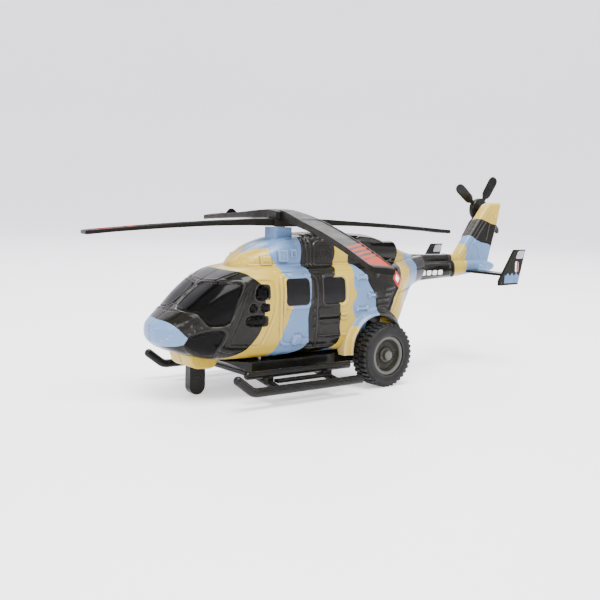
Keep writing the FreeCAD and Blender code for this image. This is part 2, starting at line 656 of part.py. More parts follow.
def build_motor():
    axle, idler, barrel = gear_places()
    pin, free = cell("arbor_radius"), cell("arbor_radius") + cell("running")
    toothed = cell("idler_angle")
    teeth = {name: cell(name + "_teeth") for name in ("axle", "idler", "pinion", "barrel")}
    axle_gear = gear(teeth["axle"], toothed, *axle, *GEAR_FACES["axle"])
    axle_gear = axle_gear.cut(y_rod(cell("axle_radius"), *axle, -6, 6))
    node(feature("axle_gear", axle_gear), "axle_gear")
    wheel_turn = toothed + 180 + 180 / teeth["idler"]
    wheel = gear(teeth["idler"], wheel_turn, *idler, *GEAR_FACES["idler"])
    pinion = gear(teeth["pinion"], cell("barrel_angle"), *idler, *GEAR_FACES["pinion"])
    pair = wheel.fuse(pinion).cut(y_rod(free, *idler, -9, 9)).removeSplitter()
    node(feature("idler_gear", pair), "idler_gear")
    barrel_turn = cell("barrel_angle") + 180 + 180 / teeth["barrel"]
    drum = gear(teeth["barrel"], barrel_turn, *barrel, *GEAR_FACES["barrel"])
    drum = drum.fuse(y_rod(6.3, *barrel, *GEAR_FACES["drum"]))
    drum = drum.cut([y_rod(5.7, *barrel, 3.0, 7.0), y_rod(free, *barrel, -9, 9)]).removeSplitter()
    node(feature("spring_barrel", drum), "spring_barrel")
    spring = spiral_strip(1.2, 5.4, 5, 0.25, 3.4, 5.7, barrel)
    node(feature("mainspring", spring), "mainspring")
    half = cell("case_half")
    pins = [y_rod(pin, *axis, -half, half) for axis in (idler, barrel)]
    node(feature("gear_arbors", Part.makeCompound(pins)), "gear_arbors")


def build_motor_case():
    """The motor case: two trays that meet on y = 0, bored for the axle and both arbors."""
    _, idler, barrel = gear_places()
    size = ("case_front_x - case_rear_x", "case_half", "case_high_z - case_low_z")
    inner = ("case_front_x - case_rear_x - 2 * case_wall", "case_half - case_wall",
             "case_high_z - case_low_z - 2 * case_wall")
    ends = [(-5.0, 28.5), (17.2, 28.0)]
    for name, y0, inner_y in (("left", "0", "0"), ("right", "-case_half", "case_wall - case_half")):
        tray = block("tray_" + name, size, ("case_rear_x", y0, "case_low_z"))
        room = block("room_" + name, inner, ("case_rear_x + case_wall", inner_y, "case_low_z + case_wall"))
        posts = [rod(f"post_{name}_{index}", "1.5", "case_half - 0.4", (str(x), y0 if name == "left" else
                     "0.4 - case_half", str(z)), ALONG_Y) for index, (x, z) in enumerate(ends)]
        walls = join("walls_" + name, cut("hollow_" + name, tray, room), *posts)
        axle = ("axle_x", y0, "tyre_radius")
        bores = [rod(f"axle_bore_{name}", "axle_radius + running", "case_half", axle, ALONG_Y)]
        for index, (x, z) in enumerate((idler, barrel)):
            bores.append(rod(f"arbor_bore_{name}_{index}", "arbor_radius", "case_half",
                             (f"{x:.6f}", y0, f"{z:.6f}"), ALONG_Y))
        for index, (x, z) in enumerate(ends):
            bores.append(rod(f"rivet_bore_{name}_{index}", "0.7", "case_half", (str(x), y0, str(z)), ALONG_Y))
        node(cut("case_" + name, walls, *bores), "motor_case_" + name)
    rivets = []
    for index, (x, z) in enumerate(ends):
        shank = rod(f"rivet_shank_{index}", "0.7", "2 * case_half", (str(x), "-case_half", str(z)), ALONG_Y)
        near = rod(f"rivet_near_{index}", "1.4", "0.6", (str(x), "case_half", str(z)), ALONG_Y)
        far = rod(f"rivet_far_{index}", "1.4", "0.6", (str(x), "-case_half - 0.6", str(z)), ALONG_Y)
        rivets.append(join(f"rivet_{index}", shank, near, far))
    group = doc.addObject("Part::Compound", "case_rivet_group")
    group.Links = rivets
    node(group, "case_rivets")


def screw(head, shank, neck, length, origin, direction):
    """A plain screw: a head at the origin and a shank along the direction."""
    body = Part.makeCylinder(shank, length, origin, direction)
    return body.fuse(Part.makeCylinder(head, neck, origin - direction * neck, direction))


def build_screws():
    shell = [screw(1.4, 0.75, 0.9, 5.4, V(x, -2.6, z), V(0, 1, 0)) for x, z in SHELL_SCREWS]
    node(feature("shell_screws", Part.makeCompound(shell)), "shell_screws")
    seat = cell("base_low_z") + cell("head_sink")
    base = [screw(1.5, 0.75, 0.8, cell("base_thick") + 2.5, V(x, side * y, seat), V(0, 0, 1))
            for x, y in BASE_SCREWS for side in (1, -1)]
    node(feature("chassis_screws", Part.makeCompound(base)), "chassis_screws")


# Main rotor, built upright about its own mast and then leaned with it

def lean(item):
    item.Placement = FreeCAD.Placement(V(cell("mast_x"), 0, cell("mast_z")), mast_turn())
    return item


def blade(root_z, droop, power, heading):
    """One blade: a flat section that widens from the root and sags towards the tip."""
    reach, wide = cell("blade_radius"), cell("blade_width")
    wires = []
    for share, spread, thick in BLADE_STATIONS:
        x, half = reach * share, wide * spread / 2
        middle = root_z - droop * share ** power
        corners = [(-half, -0.2), (-half + 0.8, -0.5), (half - 0.8, -0.5), (half, -0.2),
                   (half, 0.2), (half - 0.8, 0.5), (-half + 0.8, 0.5), (-half, 0.2)]
        loop = [V(x, y, middle + thick * z) for y, z in corners]
        wires.append(Part.makePolygon(loop + loop[:1]))
    solid = Part.makeLoft(wires, True, True)
    solid.rotate(V(0, 0, 0), V(0, 0, 1), heading)
    return solid


def blade_pair(level, heading):
    side, thick = cell("hub_side"), cell("hub_thick")
    base_z, droop = cell(level + "_z"), cell(level + "_droop")
    hub = Part.makeBox(side, side, thick, V(-side / 2, -side / 2, base_z))
    hub.rotate(V(0, 0, 0), V(0, 0, 1), heading)
    turns = zip((0, 180), SAG_POWERS[level])
    pair = hub.fuse([blade(base_z + thick / 2, droop, power, heading + turn) for turn, power in turns])
    bore = Part.makeCylinder(cell("mast_radius") + cell("running"), 20, V(0, 0, base_z - 5))
    return pair.cut(bore).removeSplitter()


def build_rotor():
    heading, radius = cell("rotor_heading"), cell("mast_radius")
    lower = blade_pair("lower", heading)
    upper = blade_pair("upper", heading + 90)
    node(lean(feature("lower_blades", lower)), "rotor_blades_lower")
    node(lean(feature("upper_blades", upper)), "rotor_blades_upper")
    top = cell("upper_z") + cell("hub_thick")
    mast = Part.makeCylinder(radius, top + 9.5, V(0, 0, -9))
    node(lean(feature("mast", mast)), "rotor_mast")
    washer = Part.makeCylinder(1.9, 0.4, V(0, 0, 3.9)).cut(Part.makeCylinder(radius, 2, V(0, 0, 3)))
    node(lean(feature("washer", washer)), "rotor_washer")
    cap = Part.makeCylinder(2.3, 0.6, V(0, 0, top + 0.1))
    cap = cap.makeFillet(0.25, [edge for edge in cap.Edges if edge.BoundBox.ZMin > top + 0.6])
    cap = cap.cut(Part.makeCylinder(radius, 9.5 + top - 9, V(0, 0, 0)))
    node(lean(feature("cap", cap)), "rotor_cap")


def build_collar():
    """The block on the cowl that the mast stands in."""
    size = [cell("collar_length"), cell("collar_width"), cell("collar_high_z") - cell("collar_low_z")]
    corner = V(cell("collar_x") - size[0] / 2, -size[1] / 2, cell("collar_low_z"))
    solid = Part.makeBox(*size, corner)
    upright = [edge for edge in solid.Edges if edge.BoundBox.ZLength > 1.0]
    solid = solid.makeFillet(0.6, upright)
    foot = Part.makeBox(size[0] + 2, size[1] + 2, 1.2, corner - V(1, 1, 1.2))
    mast = Part.makeCylinder(cell("mast_radius"), 30, V(0, 0, -15))
    mast.Placement = FreeCAD.Placement(V(cell("mast_x"), 0, cell("mast_z")), mast_turn())
    node(feature("collar", solid.fuse(foot).cut(mast).removeSplitter()), "mast_collar")


# Tail

def build_tail_plane():
    body = new_body("tail_plane_body")
    plan = rectangle("plane_rear_x", "-plane_half", "plane_front_x", "plane_half")
    pad(body, outline(body, "XY_Plane", "plane_plan", plan), "plane_thick", centred=True)
    node(place(body, ("0", "0", "plane_z")), "tail_plane")
    for name, sign in (("left", ""), ("right", "-")):
        plate = new_body("end_plate_body_" + name)
        shape = outline(plate, "XZ_Plane", "plate_shape_" + name, texts(PLATE_OUTLINE))
        pad(plate, shape, "plate_thick", centred=True)
        node(place(plate, ("0", f"{sign}(plane_half + plate_thick / 2)", "0")), "end_plate_" + name)


def tail_blade(heading):
    """A paddle on a narrow neck, in x and z about the hub."""
    neck, half, reach = 1.0, 2.3, cell("tail_radius")
    shape = [(2.0, -neck), (7.0, -neck), (8.6, -half), (reach - 0.8, -half), (reach, -half + 0.8),
             (reach, half - 0.8), (reach - 0.8, half), (8.6, half), (7.0, neck), (2.0, neck)]
    centre = V(cell("tail_x"), cell("tail_y"), cell("tail_z"))
    solid = prism([(centre.x + x, centre.z + z) for x, z in shape], centre.y - 0.6, centre.y + 0.6)
    solid.rotate(centre, V(0, 1, 0), -heading)
    return solid


def build_tail_rotor():
    x, y, z = cell("tail_x"), cell("tail_y"), cell("tail_z")
    half = cell("tail_hub_thick") / 2
    hub = y_rod(cell("tail_hub"), x, z, y - half, y + half)
    hub = hub.fuse([tail_blade(cell("tail_heading") + 90 * turn) for turn in range(4)])
    hub = hub.cut(y_rod(cell("tail_pin") + cell("running"), x, z, -20, 0)).removeSplitter()
    node(feature("tail_rotor_shape", hub), "tail_rotor")
    end = y - half - 0.1
    pin = y_rod(cell("tail_pin"), x, z, end, 1.4).fuse(y_rod(1.8, x, z, end - 0.7, end))
    node(feature("tail_pin_shape", pin), "tail_rotor_pin")


def build_all():
    build_shells()
    build_windows()
    build_exhausts()
    build_base()
    build_peg()
    build_skids()
    build_struts()
    build_wheels()
    build_motor()
    build_motor_case()
    build_screws()
    build_collar()
    build_rotor()
    build_tail_plane()
    build_tail_rotor()


def check_and_write():
    doc.recompute()
    failed = [item.Name for item in doc.Objects if {"Invalid", "Error"} & set(item.State)]
    failed += [item.Label for item in nodes if item.Shape.isNull() or not item.Shape.isValid()]
    if failed:
        raise ValueError(f"not valid: {failed}")
    os.makedirs("parts", exist_ok=True)
    for item in nodes:
        item.Shape.exportStep(f"parts/{item.Label}.step")
        print(item.Label, len(item.Shape.Solids), round(item.Shape.Volume, 2))


build_all()
check_and_write()
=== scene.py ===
import json
import math
import bmesh
import bpy
import numpy as np
from mathutils import Matrix, Vector


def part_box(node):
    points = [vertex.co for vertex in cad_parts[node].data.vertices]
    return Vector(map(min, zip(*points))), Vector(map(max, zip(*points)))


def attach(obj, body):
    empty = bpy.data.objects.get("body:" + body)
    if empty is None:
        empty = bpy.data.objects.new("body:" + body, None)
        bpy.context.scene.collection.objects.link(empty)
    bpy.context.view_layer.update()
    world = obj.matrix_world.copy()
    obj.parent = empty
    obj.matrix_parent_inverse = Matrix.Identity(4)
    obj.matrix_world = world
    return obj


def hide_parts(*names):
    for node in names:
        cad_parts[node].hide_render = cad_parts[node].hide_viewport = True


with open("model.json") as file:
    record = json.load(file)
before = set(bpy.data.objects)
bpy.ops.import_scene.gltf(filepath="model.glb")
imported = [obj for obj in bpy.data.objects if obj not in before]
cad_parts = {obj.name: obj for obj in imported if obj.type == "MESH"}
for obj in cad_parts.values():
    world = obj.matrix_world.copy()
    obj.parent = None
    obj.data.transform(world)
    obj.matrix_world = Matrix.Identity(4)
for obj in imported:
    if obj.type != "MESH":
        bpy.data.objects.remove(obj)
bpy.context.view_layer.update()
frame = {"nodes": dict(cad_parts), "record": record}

# Looks for the toy helicopter. Shapes are worked out in millimetres and scaled to metres as meshes are made.
# +X is forward, +Y is port, +Z is up. Port pieces are built first and mirrored to starboard.

MM = 0.001
AIRFRAME = "airframe"
SIDES = (("left", 1), ("right", -1))


def box_mm(node):
    """A CAD node's lowest and highest corners, in millimetres."""
    low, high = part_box(node)
    return np.array(low) / MM, np.array(high) / MM


def joint_mm(name):
    joint = [item for item in frame["record"]["behaviour"]["joints"] if item["name"] == name][0]
    return np.array(joint["pos_m"]) / MM, np.array(joint["axis"], float)


# Materials

class Graph:
    """Short ways to add shader nodes: an input is a number, a colour or another node's output."""

    def __init__(self, name):
        self.material = bpy.data.materials.new(name)
        self.material.use_nodes = True
        self.nodes = self.material.node_tree.nodes
        self.links = self.material.node_tree.links
        self.shader = self.nodes["Principled BSDF"]
        self.place = self.add("ShaderNodeTexCoord").outputs["Object"]

    def add(self, kind, inputs=(), **settings):
        item = self.nodes.new(kind)
        for key, value in settings.items():
            setattr(item, key, value)
        for key, value in dict(inputs).items():
            self.feed(item.inputs[key], value)
        return item

    def feed(self, socket, value):
        if isinstance(value, bpy.types.NodeSocket):
            self.links.new(value, socket)
        elif isinstance(value, tuple) and len(value) == 3 and socket.type == "RGBA":
            socket.default_value = (*value, 1)
        else:
            socket.default_value = value

    def math(self, operation, a, b=0.0, clamp=False):
        item = self.add("ShaderNodeMath", {0: a, 1: b}, operation=operation, use_clamp=clamp)
        return item.outputs[0]

    def mix(self, share, a, b):
        item = self.add("ShaderNodeMix", {0: share, 6: a, 7: b}, data_type="RGBA")
        return item.outputs[2]

    def blend(self, share, a, b):
        item = self.add("ShaderNodeMix", {0: share, 2: a, 3: b}, data_type="FLOAT")
        return item.outputs[0]

    def noise(self, scale, detail=3.0, roughness=0.5, where=None):
        inputs = {"Vector": where or self.place, "Scale": scale, "Detail": detail, "Roughness": roughness}
        return self.add("ShaderNodeTexNoise", inputs).outputs[0]

    def spread(self, value, low, high, start=0.0, end=1.0):
        inputs = {0: value, 1: low, 2: high, 3: start, 4: end}
        return self.add("ShaderNodeMapRange", inputs, clamp=True).outputs[0]

    def axes(self):
        """The place on the object along x, y and z, in metres."""
        return self.add("ShaderNodeSeparateXYZ", {0: self.place}).outputs

    def relief(self, height, distance, strength=1.0, under=None):
        inputs = {"Height": height, "Distance": distance, "Strength": strength}
        if under is not None:
            inputs["Normal"] = under
        return self.add("ShaderNodeBump", inputs).outputs[0]

    def finish(self, colour, roughness, normal=None, **plain):
        self.feed(self.shader.inputs["Base Color"], colour)
        self.feed(self.shader.inputs["Roughness"], roughness)
        if normal is not None:
            self.feed(self.shader.inputs["Normal"], normal)
        for key, value in plain.items():
            self.shader.inputs[key.replace("_", " ")].default_value = value
        return self.material


YELLOW = (0.41, 0.285, 0.026)
BLUE = (0.10, 0.185, 0.325)
BLACK = (0.0065, 0.006, 0.004)
ORANGE = (0.32, 0.028, 0.005)
WHITE = (0.80, 0.80, 0.78)


def crease_shade_and_edge_highlight(graph, colour, dark, light):
    """Painted shade darkens the grooves and a painted highlight lightens the edges, both from the mesh's
    pointiness.
    """
    edge = graph.add("ShaderNodeNewGeometry").outputs["Pointiness"]
    # groove is painted shade in the creases; ridge is a painted highlight on the convex edges.
    groove = graph.spread(edge, 0.43, 0.494, dark, 0.0)
    ridge = graph.math("MULTIPLY", graph.spread(edge, 0.506, 0.57), light)
    colour = graph.mix(groove, colour, (0.012, 0.012, 0.011))
    return graph.mix(ridge, colour, (0.86, 0.84, 0.78))


def skin_bump(graph, fine=0.000006, coarse=0.000008):
    """The slight unevenness of sprayed paint over moulded plastic."""
    first = graph.relief(graph.noise(140, 2), coarse, 0.5)
    return graph.relief(graph.noise(1500, 2), fine, 0.35, first)


CURVE_LOW, CURVE_HIGH = 0.0, 0.07
CURVE_REAR, CURVE_FRONT = -0.1, 0.1


def edge_curve(graph, height, points):
    """The x of a colour edge at each height, from (z, x) points in millimetres."""
    share = graph.spread(height, CURVE_LOW, CURVE_HIGH)
    item = graph.add("ShaderNodeFloatCurve", {"Factor": 1.0, "Value": share})
    curve = item.mapping.curves[0]
    points = sorted(points)
    for number, (z, x) in enumerate(points):
        at = ((z * MM - CURVE_LOW) / (CURVE_HIGH - CURVE_LOW),
              (x * MM - CURVE_REAR) / (CURVE_FRONT - CURVE_REAR))
        if number < 2:
            curve.points[number].location = at
        else:
            curve.points.new(*at)
    item.mapping.update()
    return graph.spread(item.outputs[0], 0.0, 1.0, CURVE_REAR, CURVE_FRONT)


def lay(graph, colour, black, share, tint):
    """Lays one colour over the paint so far, and keeps note of where it is black."""
    return graph.mix(share, colour, tint), graph.blend(share, black, 1.0 if tint == BLACK else 0.0)


def in_box(graph, x, z, cx, cz, half_x, half_z, slant=0.0):
    """1 inside a round-cornered rectangle, or inside a diamond when slant is 1."""
    across = graph.math("DIVIDE", graph.math("ABSOLUTE", graph.math("SUBTRACT", x, cx * MM)), half_x * MM)
    up = graph.math("DIVIDE", graph.math("ABSOLUTE", graph.math("SUBTRACT", z, cz * MM)), half_z * MM)
    power = 1 if slant else 5
    reach = graph.math("ADD", graph.math("POWER", across, power), graph.math("POWER", up, power))
    return graph.spread(reach, 1.05, 0.95)


def paint(name, bands, front=(), spread=0.0, pads=(), marks=(), edges=True, panes=False):
    """Camouflage: bands of colour from the nose aft, then patches that cover all in front of an edge."""
    graph = Graph(name)
    x, y, z = graph.axes()[:3]
    starboard = graph.math("MAXIMUM", graph.math("MULTIPLY", y, -1.0), 0.0)
    wave = graph.math("MULTIPLY", graph.math("SUBTRACT", graph.noise(110, 2), 0.5), 0.0016)
    here = graph.math("ADD", graph.math("ADD", x, wave), graph.math("MULTIPLY", starboard, 0.22))
    ridge = graph.math("MAXIMUM", graph.math("SUBTRACT", 0.008, graph.math("ABSOLUTE", y)), 0.0)
    colour = bands[0][1]
    black = 1.0 if bands[0][1] == BLACK else 0.0
    for points, tint in [(item[0], item[1]) for item in bands[1:]]:
        edge = edge_curve(graph, z, points)
        if spread and points is bands[1][0]:
            edge = graph.math("ADD", edge, graph.math("MULTIPLY", ridge, spread))
        share = graph.spread(graph.math("SUBTRACT", edge, here), -0.00008, 0.00008)
        colour, black = lay(graph, colour, black, share, tint)
    for points, tint in front:
        edge = edge_curve(graph, z, points)
        share = graph.spread(graph.math("SUBTRACT", here, edge), -0.00008, 0.00008)
        colour, black = lay(graph, colour, black, share, tint)
    for pad in pads:
        colour, black = lay(graph, colour, black, in_box(graph, x, z, *pad), BLACK)
    for cx, cz, half_x, half_z, slant, tint in marks:
        colour, black = lay(graph, colour, black, in_box(graph, x, z, cx, cz, half_x, half_z, slant), tint)
    seam = graph.spread(graph.math("ABSOLUTE", y), 0.00020, 0.00012)
    colour = graph.mix(graph.math("MULTIPLY", seam, 0.85), colour, (0.01, 0.01, 0.008))
    tone = graph.spread(graph.noise(45, 4), 0.3, 0.7, 0.92, 1.05)
    grain = graph.spread(graph.noise(2600, 1), 0.3, 0.7, 0.97, 1.03)
    shade = graph.math("MULTIPLY", tone, grain)
    colour = graph.add("ShaderNodeHueSaturation", {"Value": shade, "Color": colour}).outputs[0]
    # Painted shade in the grooves and a painted highlight on the edges, weaker on black.
    if edges:
        colour = crease_shade_and_edge_highlight(graph, colour, 0.9, graph.blend(black, 0.13, 0.03))
    shine = graph.blend(black, 0.34, 0.16)
    if panes:
        glass = graph.add("ShaderNodeAttribute", attribute_name="glass").outputs["Fac"]
        colour = graph.mix(glass, colour, (0.0018, 0.0018, 0.0016))
        shine = graph.blend(glass, shine, 0.07)
    rough = graph.blend(black, graph.spread(graph.noise(220, 3), 0.3, 0.7, 0.26, 0.36),
                        graph.spread(graph.noise(220, 3), 0.3, 0.7, 0.10, 0.20))
    graph.feed(graph.shader.inputs["Specular IOR Level"], shine)
    return graph.finish(colour, rough, skin_bump(graph))


def moulded(name, colour, rough, light=0.0, grain=900, depth=0.00002, shine=0.16):
    """Injection-moulded plastic: faint flow marks, a fine grain and, when light is above zero, painted shade in the
    creases and a painted highlight on the edges.
    """
    graph = Graph(name)
    tone = graph.spread(graph.noise(60, 4), 0.3, 0.7, 0.86, 1.14)
    base = graph.add("ShaderNodeHueSaturation", {"Value": tone, "Color": (*colour, 1)}).outputs[0]
    # Painted shade in the creases and a painted highlight on the edges, only when light is above zero.
    base = crease_shade_and_edge_highlight(graph, base, 0.35, light) if light else base
    roughness = graph.spread(graph.noise(300, 3), 0.3, 0.7, rough * 0.8, rough * 1.25)
    normal = graph.relief(graph.noise(grain, 3), depth, 0.6, graph.relief(graph.noise(90, 2), 0.00012, 0.4))
    return graph.finish(base, roughness, normal, Specular_IOR_Level=shine)


def metal(name, colour, rough):
    graph = Graph(name)
    scratches = graph.add("ShaderNodeMapping", {"Vector": graph.place, "Scale": (400, 4000, 400)}).outputs[0]
    tone = graph.spread(graph.noise(1, 3, 0.5, scratches), 0.3, 0.7, rough * 0.7, rough * 1.4)
    return graph.finish(colour, tone, graph.relief(graph.noise(1, 3, 0.5, scratches), 0.00001, 0.5),
                        Metallic=1.0)


# Mesh tools

def make_object(name, points, faces, material, body=AIRFRAME, smooth=True, merge=0.004, glass=None):
    """An object from points in millimetres, with doubles merged and its faces turned outward."""
    mesh = bpy.data.meshes.new(name)
    mesh.from_pydata((np.asarray(points, float) * MM).tolist(), [], faces)
    if glass is not None:
        mesh.attributes.new("glass", "FLOAT", "POINT").data.foreach_set("value", glass)
    work = bmesh.new()
    work.from_mesh(mesh)
    bmesh.ops.remove_doubles(work, verts=work.verts, dist=merge * MM)
    bmesh.ops.dissolve_degenerate(work, edges=work.edges, dist=merge * MM * 0.5)
    bmesh.ops.recalc_face_normals(work, faces=work.faces)
    work.to_mesh(mesh)
    work.free()
    return add_object(name, mesh, material, body, smooth)


def add_object(name, mesh, material, body=AIRFRAME, smooth=True):
    if smooth:
        mesh.polygons.foreach_set("use_smooth", [True] * len(mesh.polygons))
    mesh.materials.append(material)
    piece = bpy.data.objects.new(name, mesh)
    bpy.context.scene.collection.objects.link(piece)
    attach(piece, body)
    return piece


def soften(piece, width, segments=2, angle=30):
    """Rounds the sharp edges of a piece by a width in millimetres."""
    item = piece.modifiers.new("soft_edges", "BEVEL")
    item.width = width * MM
    item.segments = segments
    item.limit_method = "ANGLE"
    item.angle_limit = math.radians(angle)
    item.harden_normals = False
    return piece


def sharp(piece, angle=35):
    """Keeps edges over the angle crisp under smooth shading."""
    piece.data.set_sharp_from_angle(angle=math.radians(angle))
    return piece


def for_side(points, side):
    return np.asarray(points, float) * np.array([1, side, 1])


def loft(rings, closed=True, caps=True):
    """Faces over rings of the same number of points."""
    count, size = len(rings), len(rings[0])
    faces = []
    for ring in range(count - 1):
        for step in range(size if closed else size - 1):
            nxt = (step + 1) % size
            faces.append((ring * size + step, ring * size + nxt, (ring + 1) * size + nxt,
                          (ring + 1) * size + step))
    if caps:
        faces.append(tuple(range(size)))
        faces.append(tuple(range((count - 1) * size, count * size)))
    return np.concatenate(rings), faces


def prism(outline, y0, y1):
    """A plate between two y planes over an outline of (x, z) points."""
    rings = [np.array([(x, y, z) for x, z in outline], float) for y in (y0, y1)]
    return loft(rings)


# Flat measures, for relief: each gives a distance that is negative inside the shape

def to_box(x, z, cx, cz, half_x, half_z, corner=0.0):
    across, up = np.abs(x - cx) - half_x + corner, np.abs(z - cz) - half_z + corner
    outside = np.hypot(np.maximum(across, 0), np.maximum(up, 0))
    return outside + np.minimum(np.maximum(across, up), 0) - corner


def to_path(x, z, path, closed=False):
    path = list(path) + (list(path[:1]) if closed else [])
    nearest = np.full(np.shape(x), 1e9)
    for (ax, az), (bx, bz) in zip(path, path[1:]):
        run = (bx - ax) ** 2 + (bz - az) ** 2 or 1e-9
        share = np.clip(((x - ax) * (bx - ax) + (z - az) * (bz - az)) / run, 0, 1)
        nearest = np.minimum(nearest, np.hypot(x - ax - share * (bx - ax), z - az - share * (bz - az)))
    return nearest


def to_area(x, z, path):
    """Distance to a closed outline, negative inside."""
    inside = np.zeros(np.shape(x), bool)
    for (ax, az), (bx, bz) in zip(path, path[1:] + path[:1]):
        crosses = (az > z) != (bz > z)
        with np.errstate(divide="ignore", invalid="ignore"):
            inside ^= crosses & (x < (bx - ax) * (z - az) / (bz - az) + ax)
    gap = to_path(x, z, path, True)
    return np.where(inside, -gap, gap)


def rounded(path, closed=True, times=2):
    """Cuts an outline's corners, twice by default."""
    for _ in range(times):
        pairs = list(zip(path, path[1:] + (path[:1] if closed else [])))
        new = []
        for a, b in pairs:
            a, b = np.array(a, float), np.array(b, float)
            new += [tuple(0.78 * a + 0.22 * b), tuple(0.22 * a + 0.78 * b)]
        path = new if closed else [path[0]] + new + [path[-1]]
    return path


def step_up(distance, height, soft=0.32):
    """Raised by the height inside the shape, with a soft edge."""
    share = np.clip(0.5 - distance / soft, 0, 1)
    return height * share * share * (3 - 2 * share)


def bead(distance, height, width, soft=0.3):
    """A raised line of the given width along a path, or a groove if the height is negative."""
    return step_up(np.abs(distance) - width / 2, height, soft)


# Hull surfaces

STATIONS = {
    "cabin": [
        (81.75, 0.3, 22.2, 22.8, 22.5, 2.0),
        (81.5, 3.2, 20.0, 24.9, 22.5, 2.2), (80.1, 6.9, 18.6, 26.3, 22.6, 2.4),
        (77.3, 10.0, 16.9, 28.1, 22.8, 2.7),
        (72.5, 13.0, 15.0, 31.3, 23.5, 3.1), (66.5, 15.6, 13.6, 36.1, 24.6, 3.6),
        (60.0, 17.4, 12.8, 40.3, 26.0, 4.0),
        (52.0, 18.5, 12.6, 43.4, 27.2, 4.3), (42.0, 19.0, 12.6, 44.4, 28.0, 4.6),
        (12.0, 19.0, 12.6, 44.6, 28.0, 4.6),
        (-6.0, 18.8, 12.6, 44.6, 29.0, 4.4), (-13.0, 18.0, 15.6, 44.8, 31.0, 3.8),
        (-22.0, 13.4, 24.4, 45.2, 35.6, 3.0),
        (-31.0, 8.2, 32.4, 45.8, 39.6, 2.7), (-40.0, 4.8, 35.4, 46.0, 41.0, 2.6),
    ],
    "cowl": [
        (51.4, 0.6, 40.0, 43.4, 42.0, 2.2),
        (51.2, 3.0, 40.0, 44.8, 42.0, 2.4), (48.6, 7.0, 40.0, 46.9, 42.8, 2.8),
        (44.0, 9.8, 40.0, 49.3, 43.3, 3.2),
        (37.0, 11.6, 40.0, 52.0, 43.8, 3.6), (28.0, 12.2, 40.0, 53.9, 44.0, 4.0),
        (12.0, 12.2, 40.0, 55.0, 44.0, 4.0),
        (-4.0, 11.8, 40.0, 54.8, 44.0, 3.6), (-16.0, 10.2, 40.0, 52.4, 43.5, 3.0),
        (-27.0, 6.8, 40.0, 48.6, 43.0, 2.6),
        (-36.0, 4.0, 40.0, 46.2, 42.5, 2.4),
    ],
    "boom": [
        (-30.0, 5.2, 34.4, 44.2, 39.5, 3.0), (-44.0, 4.4, 35.6, 43.8, 39.6, 3.0),
        (-62.0, 3.9, 36.6, 43.6, 40.0, 3.0),
        (-74.0, 3.6, 37.9, 43.6, 40.6, 3.0), (-83.0, 3.1, 38.2, 42.6, 40.4, 2.6),
        (-86.4, 1.6, 39.2, 41.6, 40.4, 2.0),
        (-87.0, 0.3, 40.2, 40.6, 40.4, 2.0),
    ],
    "spine": [
        (-30.0, 3.0, 41.0, 46.6, 43.5, 3.2), (-48.0, 2.5, 41.0, 46.1, 43.0, 3.2),
        (-66.0, 2.3, 41.0, 46.0, 43.0, 3.2),
    ],
}


def eased(places, values, at):
    """Monotone cubic curves through the rows of values."""
    gap = np.diff(places)[:, None]
    slope = np.diff(values, axis=0) / gap
    turn = np.zeros_like(values)
    turn[0], turn[-1] = slope[0], slope[-1]
    first, second = 2 * gap[1:] + gap[:-1], gap[1:] + 2 * gap[:-1]
    with np.errstate(divide="ignore", invalid="ignore"):
        mean = (first + second) / (first / slope[:-1] + second / slope[1:])
    turn[1:-1] = np.where(slope[1:] * slope[:-1] > 0, mean, 0)
    index = np.clip(np.searchsorted(places, at, side="right") - 1, 0, len(places) - 2)
    share = ((at - places[index]) / gap[index, 0])[:, None]
    a, b = values[index], values[index + 1]
    m, n = turn[index] * gap[index], turn[index + 1] * gap[index]
    return (a * (1 + 2 * share) * (1 - share) ** 2 + m * share * (1 - share) ** 2
            + b * share ** 2 * (3 - 2 * share) + n * share ** 2 * (share - 1))


def hull_grid(part, step, rows):
    """Points over the port half of one hull volume: columns run aft, rows run from keel to crown."""
    table = np.array(STATIONS[part], float)
    chord = np.concatenate([[0], np.cumsum(np.sqrt((np.diff(table[:, :4], axis=0) ** 2).sum(1)))])
    columns = eased(chord, table, np.linspace(0, chord[-1], int(chord[-1] / step)))
    angle = np.linspace(-math.pi / 2, math.pi / 2, 400)
    grid = np.zeros((len(columns), rows, 3))
    for index, (x, half, low, high, mid, square) in enumerate(columns):
        across = half * np.abs(np.cos(angle)) ** (2 / square)
        reach = np.where(angle > 0, high - mid, low - mid)
        up = mid + reach * np.abs(np.sin(angle)) ** (2 / square)
        along = np.concatenate([[0], np.cumsum(np.hypot(np.diff(across), np.diff(up)))])
        even = np.linspace(0, along[-1], rows)
        grid[index] = np.stack([np.full(rows, x), np.interp(even, along, across),
                                np.interp(even, along, up)], 1)
    grid[:, 0, 1] = grid[:, -1, 1] = 0
    return grid


def grid_normals(grid):
    along, round_it = np.gradient(grid, axis=0), np.gradient(grid, axis=1)
    normal = np.cross(along, round_it)
    normal /= np.maximum(np.linalg.norm(normal, axis=2, keepdims=True), 1e-9)
    centre = grid.mean(axis=1, keepdims=True) * np.array([1, 0, 1])
    flip = np.sign((normal * (grid - centre) * np.array([0, 1, 1])).sum(axis=(1, 2)))[:, None, None]
    return normal * np.where(flip == 0, 1, flip)


